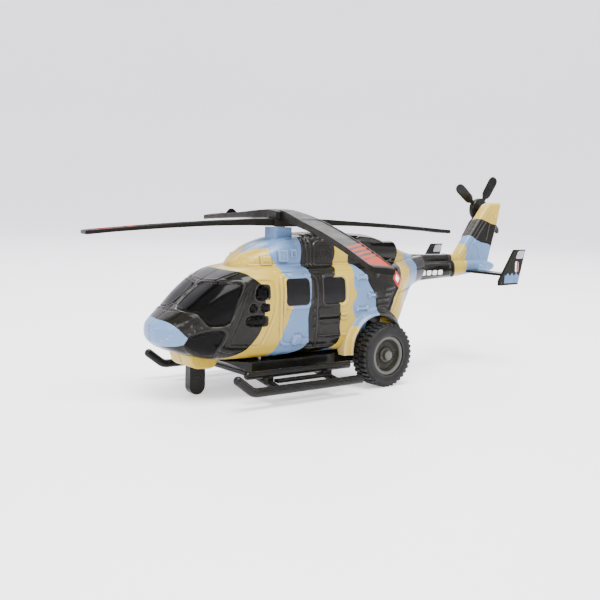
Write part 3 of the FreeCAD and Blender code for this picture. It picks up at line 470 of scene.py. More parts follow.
def hull_half(name, part, step, rows, relief, material, side, reshape=None, panes=None):
    """One half of a hull volume with its relief, closed on the centre plane."""
    grid = hull_grid(part, step, rows)
    normal = grid_normals(grid)
    x, y, z = grid[..., 0], grid[..., 1], grid[..., 2]
    height = relief(x, y, z, normal) + bead(y, -0.16, 0.3, 0.25)
    moved = grid + normal * height[..., None]
    moved[:, 0, 1] = moved[:, -1, 1] = 0
    moved[..., 1] = np.maximum(moved[..., 1], 0)
    if reshape is not None:
        moved = reshape(moved)
    count, size = moved.shape[:2]
    number = np.arange(count * size).reshape(count, size)
    quads = np.stack([number[:-1, :-1], number[1:, :-1], number[1:, 1:], number[:-1, 1:]], -1).reshape(-1, 4)
    faces = quads.tolist()
    faces += [(number[i, 0], number[i, -1], number[i + 1, -1], number[i + 1, 0]) for i in range(count - 1)]
    faces = [tuple(int(v) for v in face) for face in faces]
    faces += [tuple(int(v) for v in number[0]), tuple(int(v) for v in number[-1])]
    glass = panes(x, y, z, normal).reshape(-1) if panes else None
    piece = make_object(name, for_side(moved.reshape(-1, 3), side), faces, material, glass=glass)
    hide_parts("fuselage_shell_left" if side > 0 else "fuselage_shell_right")
    return sharp(piece, 50)


# The cockpit is drawn on a plane that faces the front quarter, where all of its edges show.
# Many points of these outlines are measured ones and not drawn by hand. report.md says how.

QUARTER = np.array([0.6109, 0.7840, 0.1106])
ACROSS = np.cross([0, 0, 1], QUARTER)
ACROSS /= np.linalg.norm(ACROSS)
UPWARD = np.cross(QUARTER, ACROSS)


def on_quarter(points):
    return [tuple(np.array([np.dot(point, ACROSS), np.dot(point, UPWARD)])) for point in points]


PANE = [(73.9, 2.4, 30.8), (68.7, 1.7, 35.1), (63.8, 2.3, 38.5), (62.6, 6.9, 39.0), (59.5, 12.7, 38.9),
        (56.2, 14.8, 39.1),
        (55.5, 15.9, 38.3), (57.5, 16.8, 34.7), (59.5, 17.1, 29.6), (61.2, 16.6, 25.5), (66.5, 14.9, 25.3),
        (67.7, 14.4, 25.8), (70, 12.6, 29), (70.8, 11.5, 29.7), (73.2, 8.3, 30)]
CHIN_PANE = [(62.3, 16.3, 23.1), (63, 15.7, 20.4), (63.8, 12.2, 15.7), (63.4, 10.3, 14.5), (65.6, 8.8, 14.4),
             (69.8, 9.5, 16.1), (73.1, 9.9, 18.1), (74, 10.5, 19.5), (73.2, 11.8, 21.6), (70.9, 13, 22.6),
             (67.3, 14.5, 23.4), (63.6, 15.9, 23.5)]
FRAME_LINES = [
    [(63.6, 0.3, 39.6), (63.1, 2.8, 39.3), (61.4, 8.2, 39.5), (58.8, 9.1, 40.7), (54.9, 10.4, 42)],
    [(75.6, 0.3, 29.6), (74.9, 3.2, 29.7), (74.2, 6.6, 29.7)],
    [(52.4, 16.9, 38.5), (55.2, 17.7, 33.7), (56.7, 17.7, 29.8), (58.4, 17.4, 25.6), (60.4, 16.5, 20.3),
     (59.9, 16.1, 18.7), (50.9, 17.7, 18.1)],
    [(54.7, 16.5, 37.9), (57.3, 17.2, 33.8), (59, 17.2, 29.9), (60.7, 16.8, 25.3)],
    [(63.9, 13.6, 16.9), (59.6, 13.6, 15.3), (56.2, 15.5, 16.2)],
]
RIVETS = [(72.6, 12.1, 25.2), (71.8, 12.6, 23.9), (69.8, 13.6, 24.9)]


def cockpit_relief(x, y, z, normal):
    """Panes, frames and panel lines of the canopy and the chin."""
    place = np.stack([x, y, z], -1)
    across, up = place @ ACROSS, place @ UPWARD
    facing = (x > 44) & ((normal * QUARTER).sum(-1) > 0.05)
    pane = to_area(across, up, rounded(on_quarter(PANE), times=1))
    chin = to_area(across, up, rounded(on_quarter(CHIN_PANE)))
    height = bead(pane, -0.5, 0.5) + step_up(pane + 0.5, -0.12) + bead(pane - 0.8, 0.12, 0.8, 0.4)
    height += bead(chin, -0.4, 0.6) + bead(chin - 0.85, 0.16, 0.8, 0.4)
    for line in FRAME_LINES:
        height += bead(to_path(across, up, on_quarter(line)), -0.24, 0.32)
    for spot in on_quarter(RIVETS):
        height += step_up(np.hypot(across - spot[0], up - spot[1]) - 0.45, 0.4)
    return np.where(facing, height, 0)


def pane_share(x, y, z, normal):
    """1 inside the panes of the canopy, the chin and the cockpit door."""
    place = np.stack([x, y, z], -1)
    across, up = place @ ACROSS, place @ UPWARD
    facing = (x > 44) & ((normal * QUARTER).sum(-1) > 0.05)
    gap = np.minimum(to_area(across, up, rounded(on_quarter(PANE), times=1)),
                     to_area(across, up, rounded(on_quarter(CHIN_PANE))))
    for outline in QUARTER_LIGHTS + GRILLES:
        gap = np.minimum(gap, to_area(x, z, rounded(outline)) + 0.1)
    return np.where(facing, np.clip(0.5 - gap / 0.4, 0, 1), 0.0)


COCKPIT_DOOR = [(50.9, 39.9), (45.9, 39.8), (44.8, 39.0), (44.8, 29.0), (47.3, 23.7), (50.1, 18.0)]
SIDE_DOOR = [(36.5, 17.6), (40.6, 17.9), (41.9, 19.2), (41.9, 40.4), (40.5, 41.4), (37.0, 41.4)]
DOOR_REAR = [(31.4, 41.1), (27.9, 41.1), (26.9, 39.8), (26.7, 37.5), (26.7, 16.5)]
QUARTER_LIGHTS = [[(51.3, 38.5), (46.7, 38.5), (46.7, 33.4), (52.5, 33.4)]]
GRILLES = [[(54.0, 32.1), (51.7, 32.1), (51.7, 29.6), (54.4, 29.6)],
           [(50.2, 32.1), (46.9, 32.1), (46.8, 29.5), (50.0, 29.5)],
           [(55.3, 28.3), (47.8, 28.2), (48.5, 24.8), (55.9, 25.0)]]
LATCH = [(36.0, 21.0), (33.4, 21.0), (33.2, 19.6), (30.1, 19.6), (29.8, 17.6), (38.0, 17.6)]
HINGES = [(5.75, 39.6, 2.1), (0.9, 33.1, 1.7), (5.8, 28.45, 2.4)]
LOUVRES = [((-6.0, 35.0), (-10.3, 35.6)), ((-5.5, 33.2), (-9.2, 33.5)), ((-2.0, 31.1), (-7.2, 31.4)),
           ((-2.1, 28.9), (-7.3, 29.1)), ((-2.7, 26.8), (-6.9, 26.9))]


def window_centres():
    """The side windows' centres along x and half sizes as given, with their height and outer face from the one CAD
    node that holds both.
    """
    low, high = box_mm("side_windows_left")
    return (34.6, 18.4), (low[2] + high[2]) / 2, 5.0, 4.6, high[1]


def side_relief(x, y, z, normal):
    """Windows, doors, hinges and vents of the cabin's side."""
    height = np.zeros_like(x)
    centres, window_z, half_x, half_z, _ = window_centres()
    for centre in centres:
        frame_gap = to_box(x, z, centre, window_z, half_x, half_z, 1.7)
        height += step_up(frame_gap - 0.05, -1.1, 0.25) + bead(frame_gap - 0.75, 0.3, 0.8, 0.35)
    for outline in QUARTER_LIGHTS:
        gap = to_area(x, z, rounded(outline))
        height += step_up(gap, -0.8, 0.35) + bead(gap - 0.45, 0.12, 0.5)
        height += (step_up(to_box(x, z, 50.2, 36.0, 1.0, 1.9, 0.5), 0.5)
                   + step_up(to_box(x, z, 48.0, 35.6, 0.6, 1.4, 0.3), 0.35))
    for outline in GRILLES:
        gap = to_area(x, z, rounded(outline))
        height += bead(gap + 0.1, -0.5, 0.5) + step_up(gap + 0.5, 0.16)
    height += bead(to_path(x, z, [(54.9, 27.6), (48.2, 27.2)]), -0.3, 0.25)
    height += bead(to_path(x, z, rounded(COCKPIT_DOOR, False)), -0.22, 0.3)
    height += bead(to_path(x, z, rounded([(px - 1.1, pz + 0.7) for px, pz in COCKPIT_DOOR], False)), 0.2,
                   0.7, 0.4)
    door = to_path(x, z, rounded(SIDE_DOOR, False))
    height += bead(door, 0.24, 1.1, 0.35) + bead(np.abs(door) - 0.75, -0.16, 0.25)
    height += step_up(to_box(x, z, 40.6, 30.0, 0.45, 1.9, 0.4), 0.4)
    rear = to_path(x, z, rounded(DOOR_REAR, False))
    height += bead(rear, 0.34, 1.0, 0.35) + bead(np.abs(rear) - 0.7, -0.18, 0.25)
    for level in (33.0, 29.2, 26.2, 22.8):
        height += step_up(to_box(x, z, 27.7, level, 0.4, 0.6, 0.2), 0.3)
    height += (step_up(to_box(x, z, 20.9, 28.1, 4.7, 1.7, 0.5), 0.3)
               + bead(to_path(x, z, [(25.3, 25.9), (16.2, 25.8)]), -0.5, 0.45))
    height += bead(to_path(x, z, [(24.8, 23.6), (16.2, 23.5), (16.2, 20.6), (24.8, 20.6)], True), 0.12, 0.4)
    for level in (27.0, 25.4, 19.7):
        height += step_up(to_box(x, z, 14.5, level, 1.7, 0.34, 0.2), 0.4)
    height += (bead(to_path(x, z, [(25.5, 20.0), (16.0, 19.7)]), 0.42, 0.5)
               + bead(to_path(x, z, [(25.5, 19.3), (16.0, 19.0)]), -0.3, 0.4))
    height += bead(to_path(x, z, [(33.0, 16.4), (16.0, 15.8)]), -0.25, 0.3)
    height += (step_up(to_area(x, z, rounded(LATCH, times=1)), 0.75)
               + step_up(to_box(x, z, 35.6, 19.4, 1.5, 1.6, 0.3), 0.45))
    for cx, cz, half in HINGES:
        bar = to_box(x, z, cx, cz, half, 0.42, 0.2)
        ends = np.minimum(to_box(x, z, cx - half, cz, 0.5, 0.95, 0.3),
                          to_box(x, z, cx + half, cz, 0.5, 0.95, 0.3))
        height += step_up(np.minimum(bar, ends), 0.8)
    height += (step_up(np.hypot(x - 4.7, z - 25.3) - 0.9, 0.9, 0.6)
               + step_up(np.hypot(x - 3.7, z - 26.3) - 0.5, 0.5, 0.5))
    ring = np.hypot(x + 1.9, z - 41.0)
    height += step_up(ring - 1.5, 0.3) + step_up(ring - 0.9, 0.6)
    for start, end in LOUVRES:
        height += bead(to_path(x, z, [start, end]), 0.45, 0.75, 0.4)
    height += bead(to_path(x, z, [(-14.2, 38.0), (-12.2, 34.3), (-7.4, 26.2)]), 0.4, 0.8, 0.5)
    height += bead(to_path(x, z, [(-15.6, 36.2), (-13.6, 33.2), (-9.4, 26.0)]), -0.25, 0.35)
    height += bead(to_path(x, z, [(-13.0, 33.4), (-30.0, 34.6)]), -0.25, 0.3)
    return np.where(np.abs(normal[..., 1]) > 0.25, height, 0)


def roof_relief(x, y, z, normal):
    """The gutter above the doors."""
    height = bead(to_path(x, z, [(44.0, 42.2), (6.0, 42.4)]), -0.2, 0.3)
    return np.where(z > 41, height, 0)


def cabin_relief(x, y, z, normal):
    return cockpit_relief(x, y, z, normal) + side_relief(x, y, z, normal) + roof_relief(x, y, z, normal)


def wheel_centre():
    low, high = box_mm("tyre_left")
    return (low[0] + high[0]) / 2, (low[2] + high[2]) / 2


WELL_RADIUS, WELL_Z, WELL_Y, ARCH_LOW_Z = 12.1, 13.4, 15.0, 12.0


def to_well(x, z):
    centre_x, _ = wheel_centre()
    dome = np.hypot(x - centre_x, z - WELL_Z) - WELL_RADIUS
    return np.where(z > WELL_Z, dome, np.abs(x - centre_x) - WELL_RADIUS)


def open_well(points):
    """Presses the wheel well into the cabin's side."""
    inside = to_well(points[..., 0], points[..., 2]) < 0
    pressed = points.copy()
    pressed[..., 1] = np.where(inside, np.minimum(points[..., 1], WELL_Y), points[..., 1])
    return pressed


def cowl_relief(x, y, z, normal):
    """Boxes, ribs, the side panel and the intake of the engine cowl."""
    height = (step_up(to_box(x, z, 42.6, 45.9, 1.8, 1.5, 0.4), 0.8)
              + step_up(to_box(x, z, 42.4, 46.3, 1.1, 0.8, 0.3), 0.3))
    height += (step_up(to_box(x, z, 36.5, 47.4, 1.9, 2.0, 0.4), 0.85, 0.3)
               + step_up(to_box(x, z, 36.3, 47.4, 1.2, 1.3, 0.3), -0.25))
    height += (step_up(to_box(x, z, 32.1, 48.4, 1.2, 1.4, 0.3), 0.5)
               + step_up(to_box(x, z, 32.0, 48.2, 0.6, 0.8, 0.2), -0.45))
    for place in (28.4, 26.6, 24.9):
        height += bead(x - place, 0.36, 0.6)
    height += (step_up(to_box(x, z, 18.9, 47.0, 4.7, 5.4, 2.6), 0.35, 0.4)
               + bead(to_box(x, z, 18.9, 47.0, 4.2, 4.9, 2.2), -0.14, 0.3))
    height += step_up(np.abs(z - 44.1) - 0.45, 0.5) * ((x > 7) & (x < 48))
    intake = to_area(x, z,
                     rounded([(3.4, 52.8), (-8.0, 52.4), (-15.3, 49.6), (-15.8, 46.0), (-12.0, 44.9),
                              (3.4, 45.0)]))
    height += step_up(intake, -0.7, 0.7) + bead(intake - 0.6, 0.45, 0.9, 0.5)
    height += bead(to_path(x, z, [(-1.0, 46.0), (-1.0, 51.5)]), 0.4, 0.5) * (intake < -0.6)
    height += (step_up(np.hypot(x + 6.5, z - 47.6) - 1.4, 0.5, 0.7)
               + step_up(np.hypot(x + 11.0, z - 48.6) - 0.9, 0.4, 0.6))
    side = np.where(np.abs(normal[..., 1]) > 0.22, height, 0)
    slats = bead((x + 100) % 2.4 - 1.2, 0.35, 1.1, 0.4) * ((x > 8) & (x < 24.5) & (y < 9.5) & (z > 50))
    ridge = bead(y - 8.6, 0.25, 0.5) * ((x > 24) & (z > 49))
    return side + slats + ridge


def boom_relief(x, y, z, normal):
    height = (step_up(to_box(x, z, -46.5, 39.8, 9.5, 2.6, 0.6), 0.22)
              + bead(to_box(x, z, -46.5, 39.8, 10.2, 3.1, 0.8), -0.14, 0.3))
    for place in (-33.5, -58.6):
        height += bead(x - place, 0.3, 0.9)
    height += step_up(to_box(x, z, -77.0, 39.6, 3.2, 1.5, 0.5), 0.3)
    return np.where(np.abs(normal[..., 1]) > 0.4, height, 0)


def spine_relief(x, y, z, normal):
    return bead(x + 33.5, 0.3, 1.0) + bead(x + 56.4, 0.25, 0.8)


# Fin, chin, wheel arches and the mast housing

FIN = [(-62.6, 44.0), (-63.2, 46.4), (-67.5, 51.8), (-79.3, 66.0), (-80.6, 67.2), (-82.6, 67.8),
       (-88.9, 67.9),
       (-87.0, 59.2), (-83.8, 49.1), (-81.8, 42.0), (-72.0, 40.5)]
FIN_HALF = 2.3


def fin_relief(x, z):
    lead = to_path(x, z, [(-63.2, 46.4), (-67.5, 51.8), (-79.3, 66.0)])
    height = bead(lead - 1.7, 0.22, 0.5) + bead(lead - 3.6, 0.26, 0.6)
    height += bead(to_path(x, z, [(-82.0, 62.0), (-79.6, 52.0)]), 0.2, 0.5)
    height += bead(to_path(x, z, rounded([(-71.0, 51.0), (-74.5, 49.5), (-76.0, 44.5)], False)), 0.25, 0.6)
    height += (step_up(np.hypot(x + 84.6, z - 62.2) - 0.8, 0.4)
               + step_up(np.hypot(x + 72.0, z - 51.3) - 0.6, 0.35))
    return height


def build_fin(name, side, material):
    """Half of the fin: a flat cheek with relief that rounds over to the centre plane."""
    low_x, high_x, low_z, high_z, step = -90.0, -61.5, 39.5, 69.0, 0.3
    xs, zs = np.arange(low_x, high_x, step), np.arange(low_z, high_z, step)
    x, z = np.meshgrid(xs, zs, indexing="ij")
    edge = to_area(x, z, FIN)
    x, z = pull_to_edge(x, z, edge, FIN, step)
    edge = to_area(x, z, FIN)
    inward = np.clip(-edge / 1.1, 0, 1)
    y = FIN_HALF * (0.42 + 0.58 * np.sqrt(1 - (1 - inward) ** 2)) + fin_relief(x, z) * (inward > 0.98)
    keep = edge < 0.02
    return plate_from_field(name, x, y, z, keep, side, material)


def pull_to_edge(x, z, edge, path, step):
    """Moves grid points just outside an outline onto it."""
    near = (edge > 0) & (edge < step * 1.5)
    ring = list(path) + [path[0]]
    best = np.full(x.shape, 1e9)
    new_x, new_z = x.copy(), z.copy()
    for (ax, az), (bx, bz) in zip(ring, ring[1:]):
        run = (bx - ax) ** 2 + (bz - az) ** 2
        share = np.clip(((x - ax) * (bx - ax) + (z - az) * (bz - az)) / run, 0, 1)
        px, pz = ax + share * (bx - ax), az + share * (bz - az)
        gap = np.hypot(x - px, z - pz)
        closer = near & (gap < best)
        best = np.where(closer, gap, best)
        new_x, new_z = np.where(closer, px, new_x), np.where(closer, pz, new_z)
    return new_x, new_z


def plate_from_field(name, x, y, z, keep, side, material):
    """A closed half plate: a relief cheek at y, a rim, and a flat back on the centre plane."""
    number = -np.ones(x.shape, int)
    number[keep] = np.arange(keep.sum())
    count = int(keep.sum())
    front = np.stack([x[keep], y[keep], z[keep]], 1)
    back = front * np.array([1, 0, 1])
    quads = []
    full = keep[:-1, :-1] & keep[1:, :-1] & keep[1:, 1:] & keep[:-1, 1:]
    for i, j in np.argwhere(full):
        quads.append((number[i, j], number[i + 1, j], number[i + 1, j + 1], number[i, j + 1]))
    edges = {}
    for face in quads:
        for a, b in zip(face, face[1:] + face[:1]):
            if (b, a) in edges:
                del edges[(b, a)]
            else:
                edges[(a, b)] = True
    faces = [tuple(int(v) for v in face) for face in quads]
    faces += [tuple(int(v) + count for v in reversed(face)) for face in quads]
    faces += [(int(b), int(a), int(a) + count, int(b) + count) for a, b in edges]
    piece = make_object(name, for_side(np.concatenate([front, back]), side), faces, material, merge=0.02)
    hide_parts("fuselage_shell_left" if side > 0 else "fuselage_shell_right")
    return sharp(piece, 40)


CHIN = [(58.2, 14.2), (59.6, 11.2), (60.6, 10.0), (62.4, 9.6), (67.5, 9.9), (69.2, 11.0), (70.3, 13.8),
        (70.4, 15.0),
        (64.0, 16.0), (59.0, 15.6)]


def build_chin(name, side, material):
    points, faces = prism(CHIN, 0.06, 7.0)
    piece = make_object(name, for_side(points, side), faces, material, smooth=True)
    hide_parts("fuselage_shell_left" if side > 0 else "fuselage_shell_right")
    return sharp(soften(piece, 0.7, 3, 25), 50)


def build_arch(name, side, material):
    """The flared lip round the wheel: a profile swept over the top and down both sides."""
    centre_x, _ = wheel_centre()
    profile = [(12.15, 15.2), (12.15, 20.4), (12.35, 20.75), (12.8, 20.8), (13.1, 20.5), (13.3, 20.0),
               (13.9, 19.4),
               (15.2, 18.9), (15.2, 15.2)]
    low = -math.asin((WELL_Z - ARCH_LOW_Z) / 13.0)
    rings = []
    for share in np.linspace(0, 1, 120):
        angle = low + share * (math.pi - 2 * low)
        tail = 1.0 if share < 0.55 else 1.0 - 0.55 * min((share - 0.55) / 0.4, 1)
        ring = []
        for radius, y in profile:
            radius = min(radius, 12.15 + (radius - 12.15) * max(tail, 0.4))
            reach_z = WELL_Z + radius * math.sin(angle)
            inner = 15.2 if reach_z > 12.7 else 15.6
            ring.append((centre_x + radius * math.cos(angle), max(y, inner), reach_z))
        rings.append(np.array(ring))
    points, faces = loft(rings)
    piece = make_object(name, for_side(points, side), faces, material)
    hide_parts("fuselage_shell_left" if side > 0 else "fuselage_shell_right")
    return sharp(piece, 45)


# Camouflage, as (z, x) points of each colour edge in millimetres, from the nose aft.
# Many of these points are measured ones and not drawn by hand.

MASK = [(0, 60.0), (13.4, 64.0), (14.4, 60.0), (15.4, 57.4), (17.2, 54.9), (20.3, 52.2), (23.5, 50.2),
        (28.4, 48.8),
        (33.4, 48.4), (36.0, 48.6), (39.7, 50.8), (40.7, 51.9), (42.3, 53.9), (43.0, 56.0), (70, 60.0)]
# Black window pads that stand outside the mask's edge: centre x and z, half length and half height.
PADS = [(49.3, 36.0, 2.9, 2.7), (49.4, 30.85, 2.9, 1.45), (51.0, 26.4, 3.9, 1.9)]
NOSE = [(0, 82.0), (18.0, 80.5), (18.5, 77.3), (19.3, 75.4), (21.3, 74.2), (22.6, 75.1), (25.6, 77.7),
        (26.9, 79.4),
        (28, 82.0), (70, 90.0)]
CABIN_BANDS = [
    (None, YELLOW),
    ([(0, 46), (13.4, 45.6), (15.4, 44.0), (18.6, 42.4), (22.9, 40.4), (27.9, 38.1), (31.2, 37.0),
      (36.0, 37.4),
      (39.7, 37.6), (41.1, 39.6), (44.0, 39.8), (70, 42)], BLUE),
    ([(0, 44), (13.0, 41.0), (13.9, 36.5), (15.2, 32.6), (17.2, 30.6), (22.3, 30.5), (29.2, 30.4),
      (32.7, 29.6), (40.2, 29.1),
      (42.8, 28.5), (44.3, 29.6), (70, 29)], BLACK),
    ([(0, 33), (12.8, 29.0), (13.8, 22.0), (15.0, 18.0), (17.5, 15.8), (23.1, 16.0), (30.6, 16.3),
      (35, 18.0), (39.8, 18.7), (43.8, 15.6),
      (70, 14)], YELLOW),
    ([(0, 7.0), (23.3, 7.2), (26.3, 9.6), (29.9, 10.2), (33.5, 8.4), (37.1, 9.7), (42.3, 8.4), (43.8, 7.7),
      (70, 7)], BLUE),
    ([(0, 0), (27.2, -0.7), (29.3, -1.1), (33.8, -0.3), (36.8, 2.1), (41.1, 3.9), (43.2, 5.7), (70, 7)],
     BLACK),
    ([(0, -7.0), (24.0, -7.2), (26.3, -8.7), (30.7, -10.2), (34.3, -12.4), (38.0, -14.6), (44.0, -17.6),
      (70, -20)], YELLOW),
    ([(0, -12), (26.0, -16.0), (30.0, -18.6), (33.6, -20.7), (37.0, -23.8), (40.9, -25.8), (44.0, -25.0),
      (70, -24)], BLUE),
    ([(0, -30), (36.0, -33.4), (41.0, -33.0), (45.1, -31.2), (70, -31)], BLACK),
]
COWL_BANDS = [
    (None, YELLOW),
    ([(0, 39), (44.4, 39.5), (47.8, 41.2), (50.4, 40.6), (52.4, 42.0), (70, 43)], BLUE),
    ([(0, 30), (44.3, 29.6), (53.5, 28.6), (70, 28)], BLACK),
    ([(0, 15), (44.0, 15.0), (48.0, 13.6), (51.8, 13.7), (56, 12), (70, 12)], YELLOW),
    ([(0, 7.7), (43.8, 7.7), (49.2, 6.8), (52.0, 5.0), (70, 3)], BLACK),
    ([(0, -17), (44.0, -18.4), (49.0, -21.6), (52.0, -22), (70, -22)], YELLOW),
    ([(0, -25), (44.0, -25.6), (48.0, -26.6), (70, -27)], BLUE),
    ([(0, -33), (70, -33)], BLACK),
]
BOOM_BANDS = [
    (None, BLUE),
    ([(0, -33.4), (70, -33.5)], BLACK),
    ([(0, -58.8), (37.0, -58.6), (45.0, -58.2), (70, -58)], YELLOW),
    ([(0, -59.5), (37.0, -60.5), (38.0, -64.5), (41.0, -66.5), (46.0, -66.8), (50.0, -66.6), (51.5, -64.0),
      (70, -64)], BLUE),
]
FIN_BANDS = [
    (None, YELLOW),
    ([(0, -66.5), (44.0, -66.8), (50.0, -66.4), (51.2, -64.0), (70, -60)], BLUE),
]
ARCH_BANDS = [
    (None, YELLOW),
    ([(0, -4), (21.4, -3), (22.0, 6.6), (22.8, 12.0), (30, 20)], BLUE),
    ([(0, -1.5), (22, -1.6), (28, -1.4), (70, -1)], BLACK),
    ([(0, -2.0), (19.5, -5.0), (20.5, -12.6), (22.0, -16.0), (70, -20)], YELLOW),
]


BADGE = [(18.6, 13.6, 2.6, 0.9, 0, BLUE), (-12.7, 38.6, 3.1, 4.1, 1, BLACK),
         (-12.7, 38.6, 2.6, 3.5, 1, ORANGE), (-12.7, 38.6, 1.2, 1.6, 1, WHITE)]
DASHES = [(-39.6 - 3.4 * step, 38.8, 1.35, 1.0, 0, WHITE) for step in range(4)]


def fin_paint():
    """The fin's bands run across it: blue at the root, a black band and a yellow top."""
    graph = Graph("fin_paint")
    x, _, z = graph.axes()[:3]
    wave = graph.math("MULTIPLY", graph.math("SUBTRACT", graph.noise(160, 2), 0.5), 0.003)
    height = graph.math("ADD", z, wave)
    steep = graph.math("ADD", height, graph.math("MULTIPLY", x, -0.29))
    gentle = graph.math("ADD", height, graph.math("MULTIPLY", x, -0.16))
    front = graph.math("SUBTRACT", edge_curve(graph, z, FIN_BANDS[1][0]), x)
    colour = graph.mix(graph.spread(front, -0.00008, 0.00008), YELLOW, BLUE)
    low = graph.spread(steep, 0.0732, 0.0734)
    high = graph.spread(gentle, 0.0724, 0.0726)
    colour = graph.mix(low, colour, BLACK)
    colour = graph.mix(high, colour, YELLOW)
    tone = graph.spread(graph.noise(45, 4), 0.3, 0.7, 0.92, 1.05)
    colour = graph.add("ShaderNodeHueSaturation", {"Value": tone, "Color": colour}).outputs[0]
    black = graph.math("SUBTRACT", low, high)
    rough = graph.blend(black, graph.spread(graph.noise(220, 3), 0.3, 0.7, 0.26, 0.36), 0.16)
    graph.feed(graph.shader.inputs["Specular IOR Level"], graph.blend(black, 0.34, 0.10))
    # The finish carries painted shade in the grooves and a painted highlight on the edges.
    return graph.finish(crease_shade_and_edge_highlight(graph, colour, 0.8, 0.08), rough, skin_bump(graph))


def build_hull():
    cabin = paint("cabin_paint", CABIN_BANDS, [(MASK, BLACK), (NOSE, BLUE)], pads=PADS, marks=BADGE,
                  panes=True)
    cowl = paint("cowl_paint", COWL_BANDS, spread=0.7)
    boom = paint("boom_paint", BOOM_BANDS, marks=DASHES)
    arch = paint("arch_paint", ARCH_BANDS)
    chin = paint("chin_paint", [(None, YELLOW)], edges=False)
    fin = fin_paint()
    for name, side in SIDES:
        hull_half("cabin_" + name, "cabin", 0.34, 196, cabin_relief, cabin, side, open_well, pane_share)
        hull_half("engine_cowl_" + name, "cowl", 0.28, 140, cowl_relief, cowl, side)
        hull_half("tail_boom_" + name, "boom", 0.5, 50, boom_relief, boom, side)
        hull_half("boom_spine_" + name, "spine", 0.5, 36, spine_relief, boom, side)
        build_fin("fin_" + name, side, fin)
        build_chin("chin_fairing_" + name, side, chin)
        build_arch("wheel_arch_" + name, side, arch)


# Wheels

TREAD_BLOCKS = 36


def build_tyre(name, side, material):
    """A chunky tyre: two staggered rows of tread blocks and a ribbed sidewall."""
    centre_x, centre_z = wheel_centre()
    low, high = box_mm("tyre_left")
    radius, inner, outer = (high[2] - low[2]) / 2, low[1] + 1.2, high[1]
    width = outer - inner
    profile = [(7.25, 0.9), (7.3, 0.98), (8.0, 0.985), (8.6, 0.995), (9.4, 1.0), (10.1, 0.992), (10.5, 0.97),
               (10.7, 0.94)]
    shoulder = [(radius, 0.93), (radius, 0.82), (radius, 0.70), (radius, 0.60), (radius, 0.545),
                (radius - 0.7, 0.53),
                (radius - 0.7, 0.47), (radius, 0.455), (radius, 0.40), (radius, 0.30), (radius, 0.18),
                (radius, 0.07)]
    back = [(r, 1 - share) for r, share in reversed(profile)]
    loop = profile + shoulder + back
    steps = TREAD_BLOCKS * 12
    rings = []
    for index in range(steps):
        angle = 2 * math.pi * index / steps
        ring = []
        for place, (r, share) in enumerate(loop):
            tread = len(profile) <= place < len(profile) + len(shoulder)
            row = 0.0 if share > 0.5 else 0.5
            phase = (index / 12 + row) % 1.0
            if tread and phase < 0.34 and r > radius - 0.3:
                r = radius - 0.55
            elif not tread and share > 0.94 and 9.2 < r < 10.6 and (index % 4) < 2:
                share += 0.028
            ring.append((centre_x + r * math.cos(angle), inner + min(share, 1.0) * width,
                         centre_z + r * math.sin(angle)))
        rings.append(ring)
    points = np.array(rings)
    size = len(loop)
    faces = []
    for index in range(steps):
        nxt = (index + 1) % steps
        for place in range(size - 1):
            faces.append((index * size + place, nxt * size + place, nxt * size + place + 1,
                          index * size + place + 1))
        faces.append((index * size + size - 1, nxt * size + size - 1, nxt * size, index * size))
    piece = make_object(name, for_side(points.reshape(-1, 3), side), faces, material, "rear_wheels")
    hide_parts("tyre_left" if side > 0 else "tyre_right")
    return sharp(piece, 32)


def build_rim(name, side, material):
    """A moulded wheel centre: a rolled lip, a ribbed dish, a stepped hub and its boss."""
    centre_x, centre_z = wheel_centre()
    low, high = box_mm("tyre_left")
    face = high[1]
    profile = [(0.0, 0.25), (1.3, 0.2), (1.65, -0.05), (1.75, -0.4), (1.8, -1.3), (2.5, -1.45), (2.7, -1.7),
               (2.75, -2.3),
               (3.1, -2.45), (4.4, -2.6), (5.5, -2.3), (5.75, -1.9), (5.8, -0.9), (6.0, -0.55), (6.4, -0.35),
               (6.9, -0.4),
               (7.2, -0.7), (7.22, -1.4), (7.22, -7.0), (5.0, -7.2), (1.2, -7.2)]
    steps = 192
    rings = []
    for index in range(steps):
        angle = 2 * math.pi * index / steps
        rib = 0.32 if index % 4 < 2 else 0.0
        ring = []
        for r, depth in profile:
            lift = rib if 3.0 < r < 5.6 and depth > -3 else 0.0
            ring.append((centre_x + r * math.cos(angle), face + depth + lift - 0.1,
                         centre_z + r * math.sin(angle)))
        rings.append(ring)
    points = np.array(rings)
    size = len(profile)
    faces = []
    for index in range(steps):
        nxt = (index + 1) % steps
        for place in range(size - 1):
            faces.append((index * size + place, nxt * size + place, nxt * size + place + 1,
                          index * size + place + 1))
    faces.append(tuple(index * size + size - 1 for index in range(steps)))
    piece = make_object(name, for_side(points.reshape(-1, 3), side), faces, material, "rear_wheels")
    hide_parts("wheel_rim_left" if side > 0 else "wheel_rim_right")
    return sharp(piece, 35)


def build_wheels():
    # Both light values are above zero, so the tyre and the rim carry painted crease shade and painted edge
    # highlights.
    rubber = moulded("tyre_rubber", (0.005, 0.005, 0.0045), 0.45, 0.02, 1400, 0.00004, 0.16)
    plastic = moulded("rim_olive", (0.024, 0.024, 0.017), 0.32, 0.10)
    for name, side in SIDES:
        build_tyre("tyre_tread_" + name, side, rubber)
        build_rim("wheel_disc_" + name, side, plastic)


# Main rotor: each blade is a loft along its own radius in the leaning mast's frame

def rotor_frame():
    origin, axis = joint_mm("main_rotor_spin")
    up = Vector(axis).normalized()
    turn = Vector((0, 0, 1)).rotation_difference(up)
    return np.array(origin), np.array(turn.to_matrix())


BLADE_RADIUS, BLADE_WIDTH = 71.0, 9.0
BLADE_SHARES = [(0.04, 0.58, 2.6), (0.10, 0.60, 2.6), (0.16, 0.66, 2.4), (0.25, 0.82, 2.1), (0.34, 0.92, 1.8),
                (0.45, 0.94, 1.6), (0.6, 0.95, 1.5), (0.75, 0.97, 1.4), (0.9, 1.0, 1.3), (0.972, 1.0, 1.4),
                (0.99, 0.95, 1.4),
                (1.0, 0.84, 1.2)]
UPPER_THICKER = 1.4
HEADING = -11.5
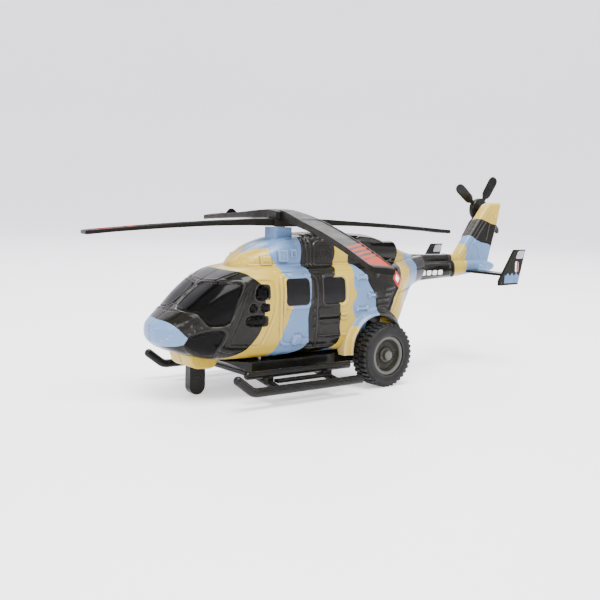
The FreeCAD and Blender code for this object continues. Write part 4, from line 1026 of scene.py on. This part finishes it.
# Each pair: blade root height, droop, quarter turn, roll and its change to the tip, and its two blades' sag powers.
PAIRS = (("lower", 5.5, 3.7, 0, 5.6, 0.0, (1.8, 1.8)), ("upper", 8.2, 8.7, 90, 5.5, -12.0, (2.0, 1.0)))


def blade_rings(root_z, droop, power, heading, roll, twist, depth):
    """Sections of one blade with a raised rim along both edges and a dished top."""
    dense = np.linspace(BLADE_SHARES[0][0], 1.0, 80)
    dense = np.unique(np.concatenate([dense, [0.968, 0.974, 0.98, 0.986, 0.992, 0.997]]))
    shares = np.array([row[0] for row in BLADE_SHARES])
    widths = np.interp(dense, shares, [row[1] for row in BLADE_SHARES]) * BLADE_WIDTH
    thicks = np.interp(dense, shares, [row[2] for row in BLADE_SHARES]) * depth
    turn = math.radians(heading)
    rings = []
    for share, width, thick in zip(dense, widths, thicks):
        half = width / 2
        dish = 0.28 if 0.3 < share < 0.972 else 0.0
        rim = 0.55
        profile = [(-half, -thick / 2 + 0.35), (-half + 0.35, -thick / 2), (half - 0.35, -thick / 2),
                   (half, -thick / 2 + 0.35),
                   (half, thick / 2 - 0.2), (half - 0.2, thick / 2), (half - rim, thick / 2),
                   (half - rim - 0.2, thick / 2 - dish),
                   (0, thick / 2 - dish + 0.1), (-half + rim + 0.2, thick / 2 - dish),
                   (-half + rim, thick / 2),
                   (-half + 0.2, thick / 2), (-half, thick / 2 - 0.2)]
        along = share * BLADE_RADIUS
        middle = root_z - droop * share ** power
        tilt = math.tan(math.radians(roll + twist * share)) * min(1, (share - 0.04) / 0.15)
        ring = [(along * math.cos(turn) - across * math.sin(turn),
                 along * math.sin(turn) + across * math.cos(turn),
                 middle + lift + across * tilt) for across, lift in profile]
        rings.append(np.array(ring))
    return rings


def rotor_material():
    """Black blades with an orange tip and four slanting stripes, painted on top."""
    graph = Graph("rotor_black")
    span = graph.add("ShaderNodeAttribute", attribute_name="span").outputs["Fac"]
    chord = graph.add("ShaderNodeAttribute", attribute_name="chord").outputs["Fac"]
    topside = graph.add("ShaderNodeAttribute", attribute_name="topside").outputs["Fac"]
    slant = graph.math("ADD", span, graph.math("MULTIPLY", chord, 0.0376))
    tip = graph.math("MULTIPLY", graph.spread(slant, 0.887, 0.889), graph.spread(span, 0.972, 0.970))
    share = graph.math("FRACT", graph.math("MULTIPLY", graph.math("SUBTRACT", slant, 0.72), 1 / 0.042))
    stripe = graph.spread(graph.math("ABSOLUTE", graph.math("SUBTRACT", share, 0.5)), 0.27, 0.25)
    band = graph.math("MULTIPLY", graph.spread(slant, 0.719, 0.721), graph.spread(slant, 0.889, 0.887))
    stripe = graph.math("MULTIPLY", stripe, band)
    inner = graph.spread(graph.math("ABSOLUTE", chord), 0.86, 0.84)
    mark = graph.math("MULTIPLY", graph.math("MAXIMUM", tip, stripe), graph.math("MULTIPLY", inner, topside))
    patchy = graph.spread(graph.noise(900, 3), 0.22, 0.36, 0.75, 1.0)
    colour = graph.mix(graph.math("MULTIPLY", mark, patchy), BLACK, ORANGE)
    tone = graph.spread(graph.noise(50, 4), 0.3, 0.7, 0.85, 1.15)
    colour = graph.add("ShaderNodeHueSaturation", {"Value": tone, "Color": colour}).outputs[0]
    rough = graph.blend(mark, graph.spread(graph.noise(260, 3), 0.3, 0.7, 0.38, 0.5), 0.55)
    return graph.finish(colour, rough, skin_bump(graph), Specular_IOR_Level=0.07)


def build_rotor():
    material = rotor_material()
    origin, turn = rotor_frame()
    for pair, root_z, droop, quarter, roll, twist, powers in PAIRS:
        points, faces, span, chord, topside = [], [], [], [], []
        level = twist == 0
        for half, power in zip((0, 180), powers):
            sign = -1 if level and half else 1
            depth = 1.0 if level else UPPER_THICKER
            rings = blade_rings(root_z, droop, power, HEADING + quarter + half, roll * sign, twist, depth)
            new_points, new_faces = loft(rings)
            faces += [tuple(v + len(points) for v in face) for face in new_faces]
            points += new_points.tolist()
            for ring in rings:
                reach = np.hypot(ring[:, 0], ring[:, 1]).mean() / BLADE_RADIUS
                direction = math.radians(HEADING + quarter + half)
                side = -ring[:, 0] * math.sin(direction) + ring[:, 1] * math.cos(direction)
                span += [reach] * len(ring)
                chord += (side / (BLADE_WIDTH / 2)).tolist()
                topside += [float(4 <= place <= 12) for place in range(len(ring))]
        world = np.array(points) @ turn.T + origin
        piece = blade_object("rotor_pair_" + pair, world, faces, material, span, chord, topside)
        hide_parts("rotor_blades_" + pair)
    build_hub(material, origin, turn)
    build_fence(material, origin, turn)


def build_fence(material, origin, turn):
    """The small upright fence across the far upper blade."""
    _, root_z, droop, quarter, _, _, powers = PAIRS[1]
    heading, along = math.radians(HEADING + quarter + 180), 49.0
    low = root_z - droop * (along / BLADE_RADIUS) ** powers[1] + 0.5
    rings = []
    for near in (-0.5, 0.5):
        ring = []
        for across, lift in ((-3.4, 0.0), (3.0, 0.0), (0.9, 2.3), (-0.5, 2.3)):
            flat = Vector((along + near, across, 0))
            flat.rotate(Matrix.Rotation(heading, 3, "Z"))
            ring.append((flat.x, flat.y, low + lift))
        rings.append(np.array(ring) @ turn.T + origin)
    points, faces = loft(rings)
    piece = make_object("rotor_fence", points, faces, material, "main_rotor")
    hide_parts("rotor_blades_upper")
    return sharp(soften(piece, 0.2, 2), 40)


def blade_object(name, points, faces, material, span, chord, topside):
    mesh = bpy.data.meshes.new(name)
    mesh.from_pydata((points * MM).tolist(), [], faces)
    for key, values in (("span", span), ("chord", chord), ("topside", topside)):
        mesh.attributes.new(key, "FLOAT", "POINT").data.foreach_set("value", values)
    work = bmesh.new()
    work.from_mesh(mesh)
    bmesh.ops.recalc_face_normals(work, faces=work.faces)
    work.to_mesh(mesh)
    work.free()
    return sharp(add_object(name, mesh, material, "main_rotor"), 40)


def build_hub(material, origin, turn):
    """Two stacked square hub blocks with cut corners, a chamfered top and softened edges."""
    for pair, root_z, _, quarter, *_rest in PAIRS:
        heading = math.radians(HEADING + quarter)
        size, wide, tall = 4.6, 4.2, 1.36
        outline = [(-size, -wide + 0.8), (-size + 0.8, -wide), (size - 0.8, -wide), (size, -wide + 0.8),
                   (size, wide - 0.8),
                   (size - 0.8, wide), (-size + 0.8, wide), (-size, wide - 0.8)]
        rings = []
        for lift, grow in ((-tall, 0.0), (tall - 0.3, 0.0), (tall, -0.3)):
            ring = []
            for across, along in outline:
                across, along = across * (1 + grow / size), along * (1 + grow / wide)
                ring.append((across * math.cos(heading) - along * math.sin(heading),
                             across * math.sin(heading) + along * math.cos(heading), root_z + lift))
            rings.append(np.array(ring) @ turn.T + origin)
        points, faces = loft(rings)
        piece = make_object("rotor_hub_" + pair, points, faces, material, "main_rotor")
        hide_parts("rotor_blades_" + pair)
        sharp(soften(piece, 0.25, 2), 40)


# Tail rotor

def build_tail_rotor(material):
    """A domed hub and four paddles with narrow necks, each twisted a little."""
    centre, _ = joint_mm("tail_rotor_spin")
    stations = [(2.0, 2.4, 1.6, 0), (4.6, 1.9, 1.3, 6), (6.0, 1.8, 1.2, 10), (7.2, 3.6, 1.1, 16),
                (8.4, 4.1, 1.1, 18),
                (14.9, 4.3, 1.0, 20), (16.3, 3.7, 1.0, 20), (17.1, 2.4, 0.9, 20), (17.3, 0.9, 0.7, 20)]
    parts = []
    for index in range(4):
        heading = math.radians(35 + 90 * index)
        rings = []
        for along, width, thick, twist in stations:
            ring = []
            for step in range(16):
                angle = 2 * math.pi * step / 16
                across = width / 2 * math.copysign(abs(math.cos(angle)) ** 0.6, math.cos(angle))
                deep = thick / 2 * math.copysign(abs(math.sin(angle)) ** 0.6, math.sin(angle))
                tilt = math.radians(twist)
                flat = across * math.cos(tilt) - deep * math.sin(tilt)
                out = across * math.sin(tilt) + deep * math.cos(tilt)
                ring.append((centre[0] + along * math.cos(heading) - flat * math.sin(heading),
                             centre[1] + out,
                             centre[2] + along * math.sin(heading) + flat * math.cos(heading)))
            rings.append(np.array(ring))
        parts.append(loft(rings))
    profile = [(0.1, -1.5), (4.0, -1.5), (4.8, -1.2), (4.9, -0.6), (4.9, 0.6), (4.6, 1.1), (2.9, 1.35),
               (1.6, 1.5), (0.1, 1.5)]
    rings = [np.array([(centre[0] + r * math.cos(a), centre[1] + y, centre[2] + r * math.sin(a))
                       for a in np.linspace(0, 2 * math.pi, 48, endpoint=False)]) for r, y in profile]
    parts.append(loft(rings))
    points, faces, offset = [], [], 0
    for new_points, new_faces in parts:
        points.append(new_points)
        faces += [tuple(v + offset for v in face) for face in new_faces]
        offset += len(new_points)
    piece = make_object("tail_rotor_paddles", np.concatenate(points), faces, material, "tail_rotor_body")
    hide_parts("tail_rotor")
    return sharp(piece, 40)


# Finishes for the CAD nodes that stay as they are

def plate_paint():
    """End plates: a grey top patch, an orange bar and a blue foot on black."""
    graph = Graph("end_plate_paint")
    x, _, z = graph.axes()[:3]
    wave = graph.math("MULTIPLY", graph.math("SINE", graph.math("MULTIPLY", x, 2400)), 0.0005)
    foot = graph.math("MULTIPLY", graph.spread(graph.math("ADD", z, wave), 0.0390, 0.0388),
                      graph.spread(x, -0.0667, -0.0669))
    foot = graph.math("MULTIPLY", foot, graph.spread(z, 0.0353, 0.0355))
    slanted = graph.math("ADD", x, graph.math("MULTIPLY", graph.math("SUBTRACT", z, 0.047), 0.45))
    colour = graph.mix(foot, BLACK, (0.10, 0.17, 0.30))
    colour = graph.mix(in_box(graph, slanted, z, -76.2, 46.9, 2.3, 1.6), colour, (0.34, 0.32, 0.34))
    colour = graph.mix(in_box(graph, x, z, -74.1, 42.0, 1.0, 2.2), colour, WHITE)
    colour = graph.mix(in_box(graph, x, z, -74.5, 42.0, 0.5, 2.2), colour, ORANGE)
    tone = graph.spread(graph.noise(500, 3), 0.3, 0.7, 0.9, 1.1)
    colour = graph.add("ShaderNodeHueSaturation", {"Value": tone, "Color": colour}).outputs[0]
    rough = graph.spread(graph.noise(300, 3), 0.3, 0.7, 0.2, 0.34)
    return graph.finish(colour, rough, skin_bump(graph), Specular_IOR_Level=0.10)


def dress(material, *names):
    for name in names:
        slots = frame["nodes"][name].material_slots
        for item in slots:
            item.material = material


def dress_frame():
    black = moulded("black_plastic", (0.006, 0.006, 0.0045), 0.22)
    glossy = moulded("window_black", (0.003, 0.003, 0.003), 0.2, 0.0, 2400, 0.000012, 0.15)
    pale = moulded("case_plastic", (0.40, 0.39, 0.35), 0.42)
    white = moulded("gear_plastic", (0.50, 0.48, 0.42), 0.38)
    blue = moulded("mast_blue", BLUE, 0.28)
    steel, brass = metal("steel", (0.62, 0.62, 0.61), 0.28), metal("brass", (0.72, 0.55, 0.25), 0.3)
    dress(black, "chassis_base", "nose_peg", "cross_tube_front", "cross_tube_rear", "tail_plane",
          *[f"{part}_{side}" for part in ("skid_tube", "step_rail", "step_board", "exhaust") for side,
            _ in SIDES])
    dress(glossy, "side_windows_left", "side_windows_right")
    dress(pale, "motor_case_left", "motor_case_right")
    dress(white, "axle_gear", "idler_gear", "spring_barrel")
    dress(blue, "mast_collar")
    dress(steel, "rear_axle", "gear_arbors", "rotor_mast", "tail_rotor_pin", "rotor_washer", "mainspring",
          "shell_screws",
          "chassis_screws")
    dress(brass, "case_rivets")
    dress(plate_paint(), "end_plate_left", "end_plate_right")
    return black


# Camera, floor and light

CAMERA_PLACE = Vector((217.977, 255.745, 66.311)) * MM
CAMERA_AHEAD = Vector((-0.60927, -0.78517, -0.11092)).normalized()
CAMERA_RIGHT = Vector((-0.79157, 0.6105, 0.02647)).normalized()
CAMERA_LENS, SENSOR = 52.98, 36.0


def build_camera():
    data = bpy.data.cameras.new("camera")
    data.lens, data.sensor_width, data.sensor_fit = CAMERA_LENS, SENSOR, "HORIZONTAL"
    data.clip_start, data.clip_end = 0.01, 20
    camera = bpy.data.objects.new("camera", data)
    upward = CAMERA_RIGHT.cross(CAMERA_AHEAD)
    turn = Matrix((CAMERA_RIGHT, upward, -CAMERA_AHEAD)).transposed()
    camera.matrix_world = Matrix.Translation(CAMERA_PLACE) @ turn.to_4x4()
    bpy.context.scene.collection.objects.link(camera)
    bpy.context.scene.camera = camera


def build_floor():
    """A pale sweep: flat under the toy and curving up behind it in every direction."""
    rings, steps = [], 96
    radii = [(0.0005, 0.0), (0.6, 0.0), (1.2, 0.0), (1.5, 0.03), (1.8, 0.12), (2.1, 0.3), (2.3, 0.6),
             (2.4, 1.2), (2.4, 2.4)]
    for radius, height in radii:
        rings.append(np.array([(radius * math.cos(a) / MM, radius * math.sin(a) / MM, height / MM)
                               for a in np.linspace(0, 2 * math.pi, steps, endpoint=False)]))
    points, faces = loft(rings, caps=False)
    mesh = bpy.data.meshes.new("floor")
    mesh.from_pydata((points * MM).tolist(), [], faces)
    mesh.polygons.foreach_set("use_smooth", [True] * len(mesh.polygons))
    graph = Graph("floor_pale")
    tone = graph.spread(graph.noise(3, 3), 0.3, 0.7, 0.97, 1.0)
    colour = graph.add("ShaderNodeHueSaturation", {"Value": tone, "Color": (0.86, 0.845, 0.87, 1)}).outputs[0]
    mesh.materials.append(graph.finish(colour, 0.5, Emission_Color=(0.93, 0.91, 0.96, 1),
                                       Emission_Strength=0.62))
    floor = bpy.data.objects.new("floor", mesh)
    bpy.context.scene.collection.objects.link(floor)


def add_light(name, place, size, power, colour=(1, 1, 1), target=(0, 0, 0.03)):
    data = bpy.data.lights.new(name, "AREA")
    data.shape, data.size, data.energy, data.color = "SQUARE", size, power, colour
    item = bpy.data.objects.new(name, data)
    item.location = place
    item.rotation_euler = (Vector(target) - Vector(place)).to_track_quat("-Z", "Y").to_euler()
    bpy.context.scene.collection.objects.link(item)


def build_light():
    world = bpy.data.worlds.new("studio")
    bpy.context.scene.world = world
    world.use_nodes = True
    world.node_tree.nodes["Background"].inputs[0].default_value = (0.93, 0.94, 1.0, 1)
    world.node_tree.nodes["Background"].inputs[1].default_value = 1.0
    add_light("key_above", (0.10, 0.15, 0.9), 0.6, 21.0)
    add_light("fill_front", (0.8, 0.35, 0.5), 0.35, 4.0)
    add_light("rim_behind", (-0.5, -0.6, 0.7), 0.6, 7.0)


build_camera()
build_floor()
build_light()
plastic = dress_frame()
build_hull()
build_wheels()
build_rotor()
build_tail_rotor(plastic)
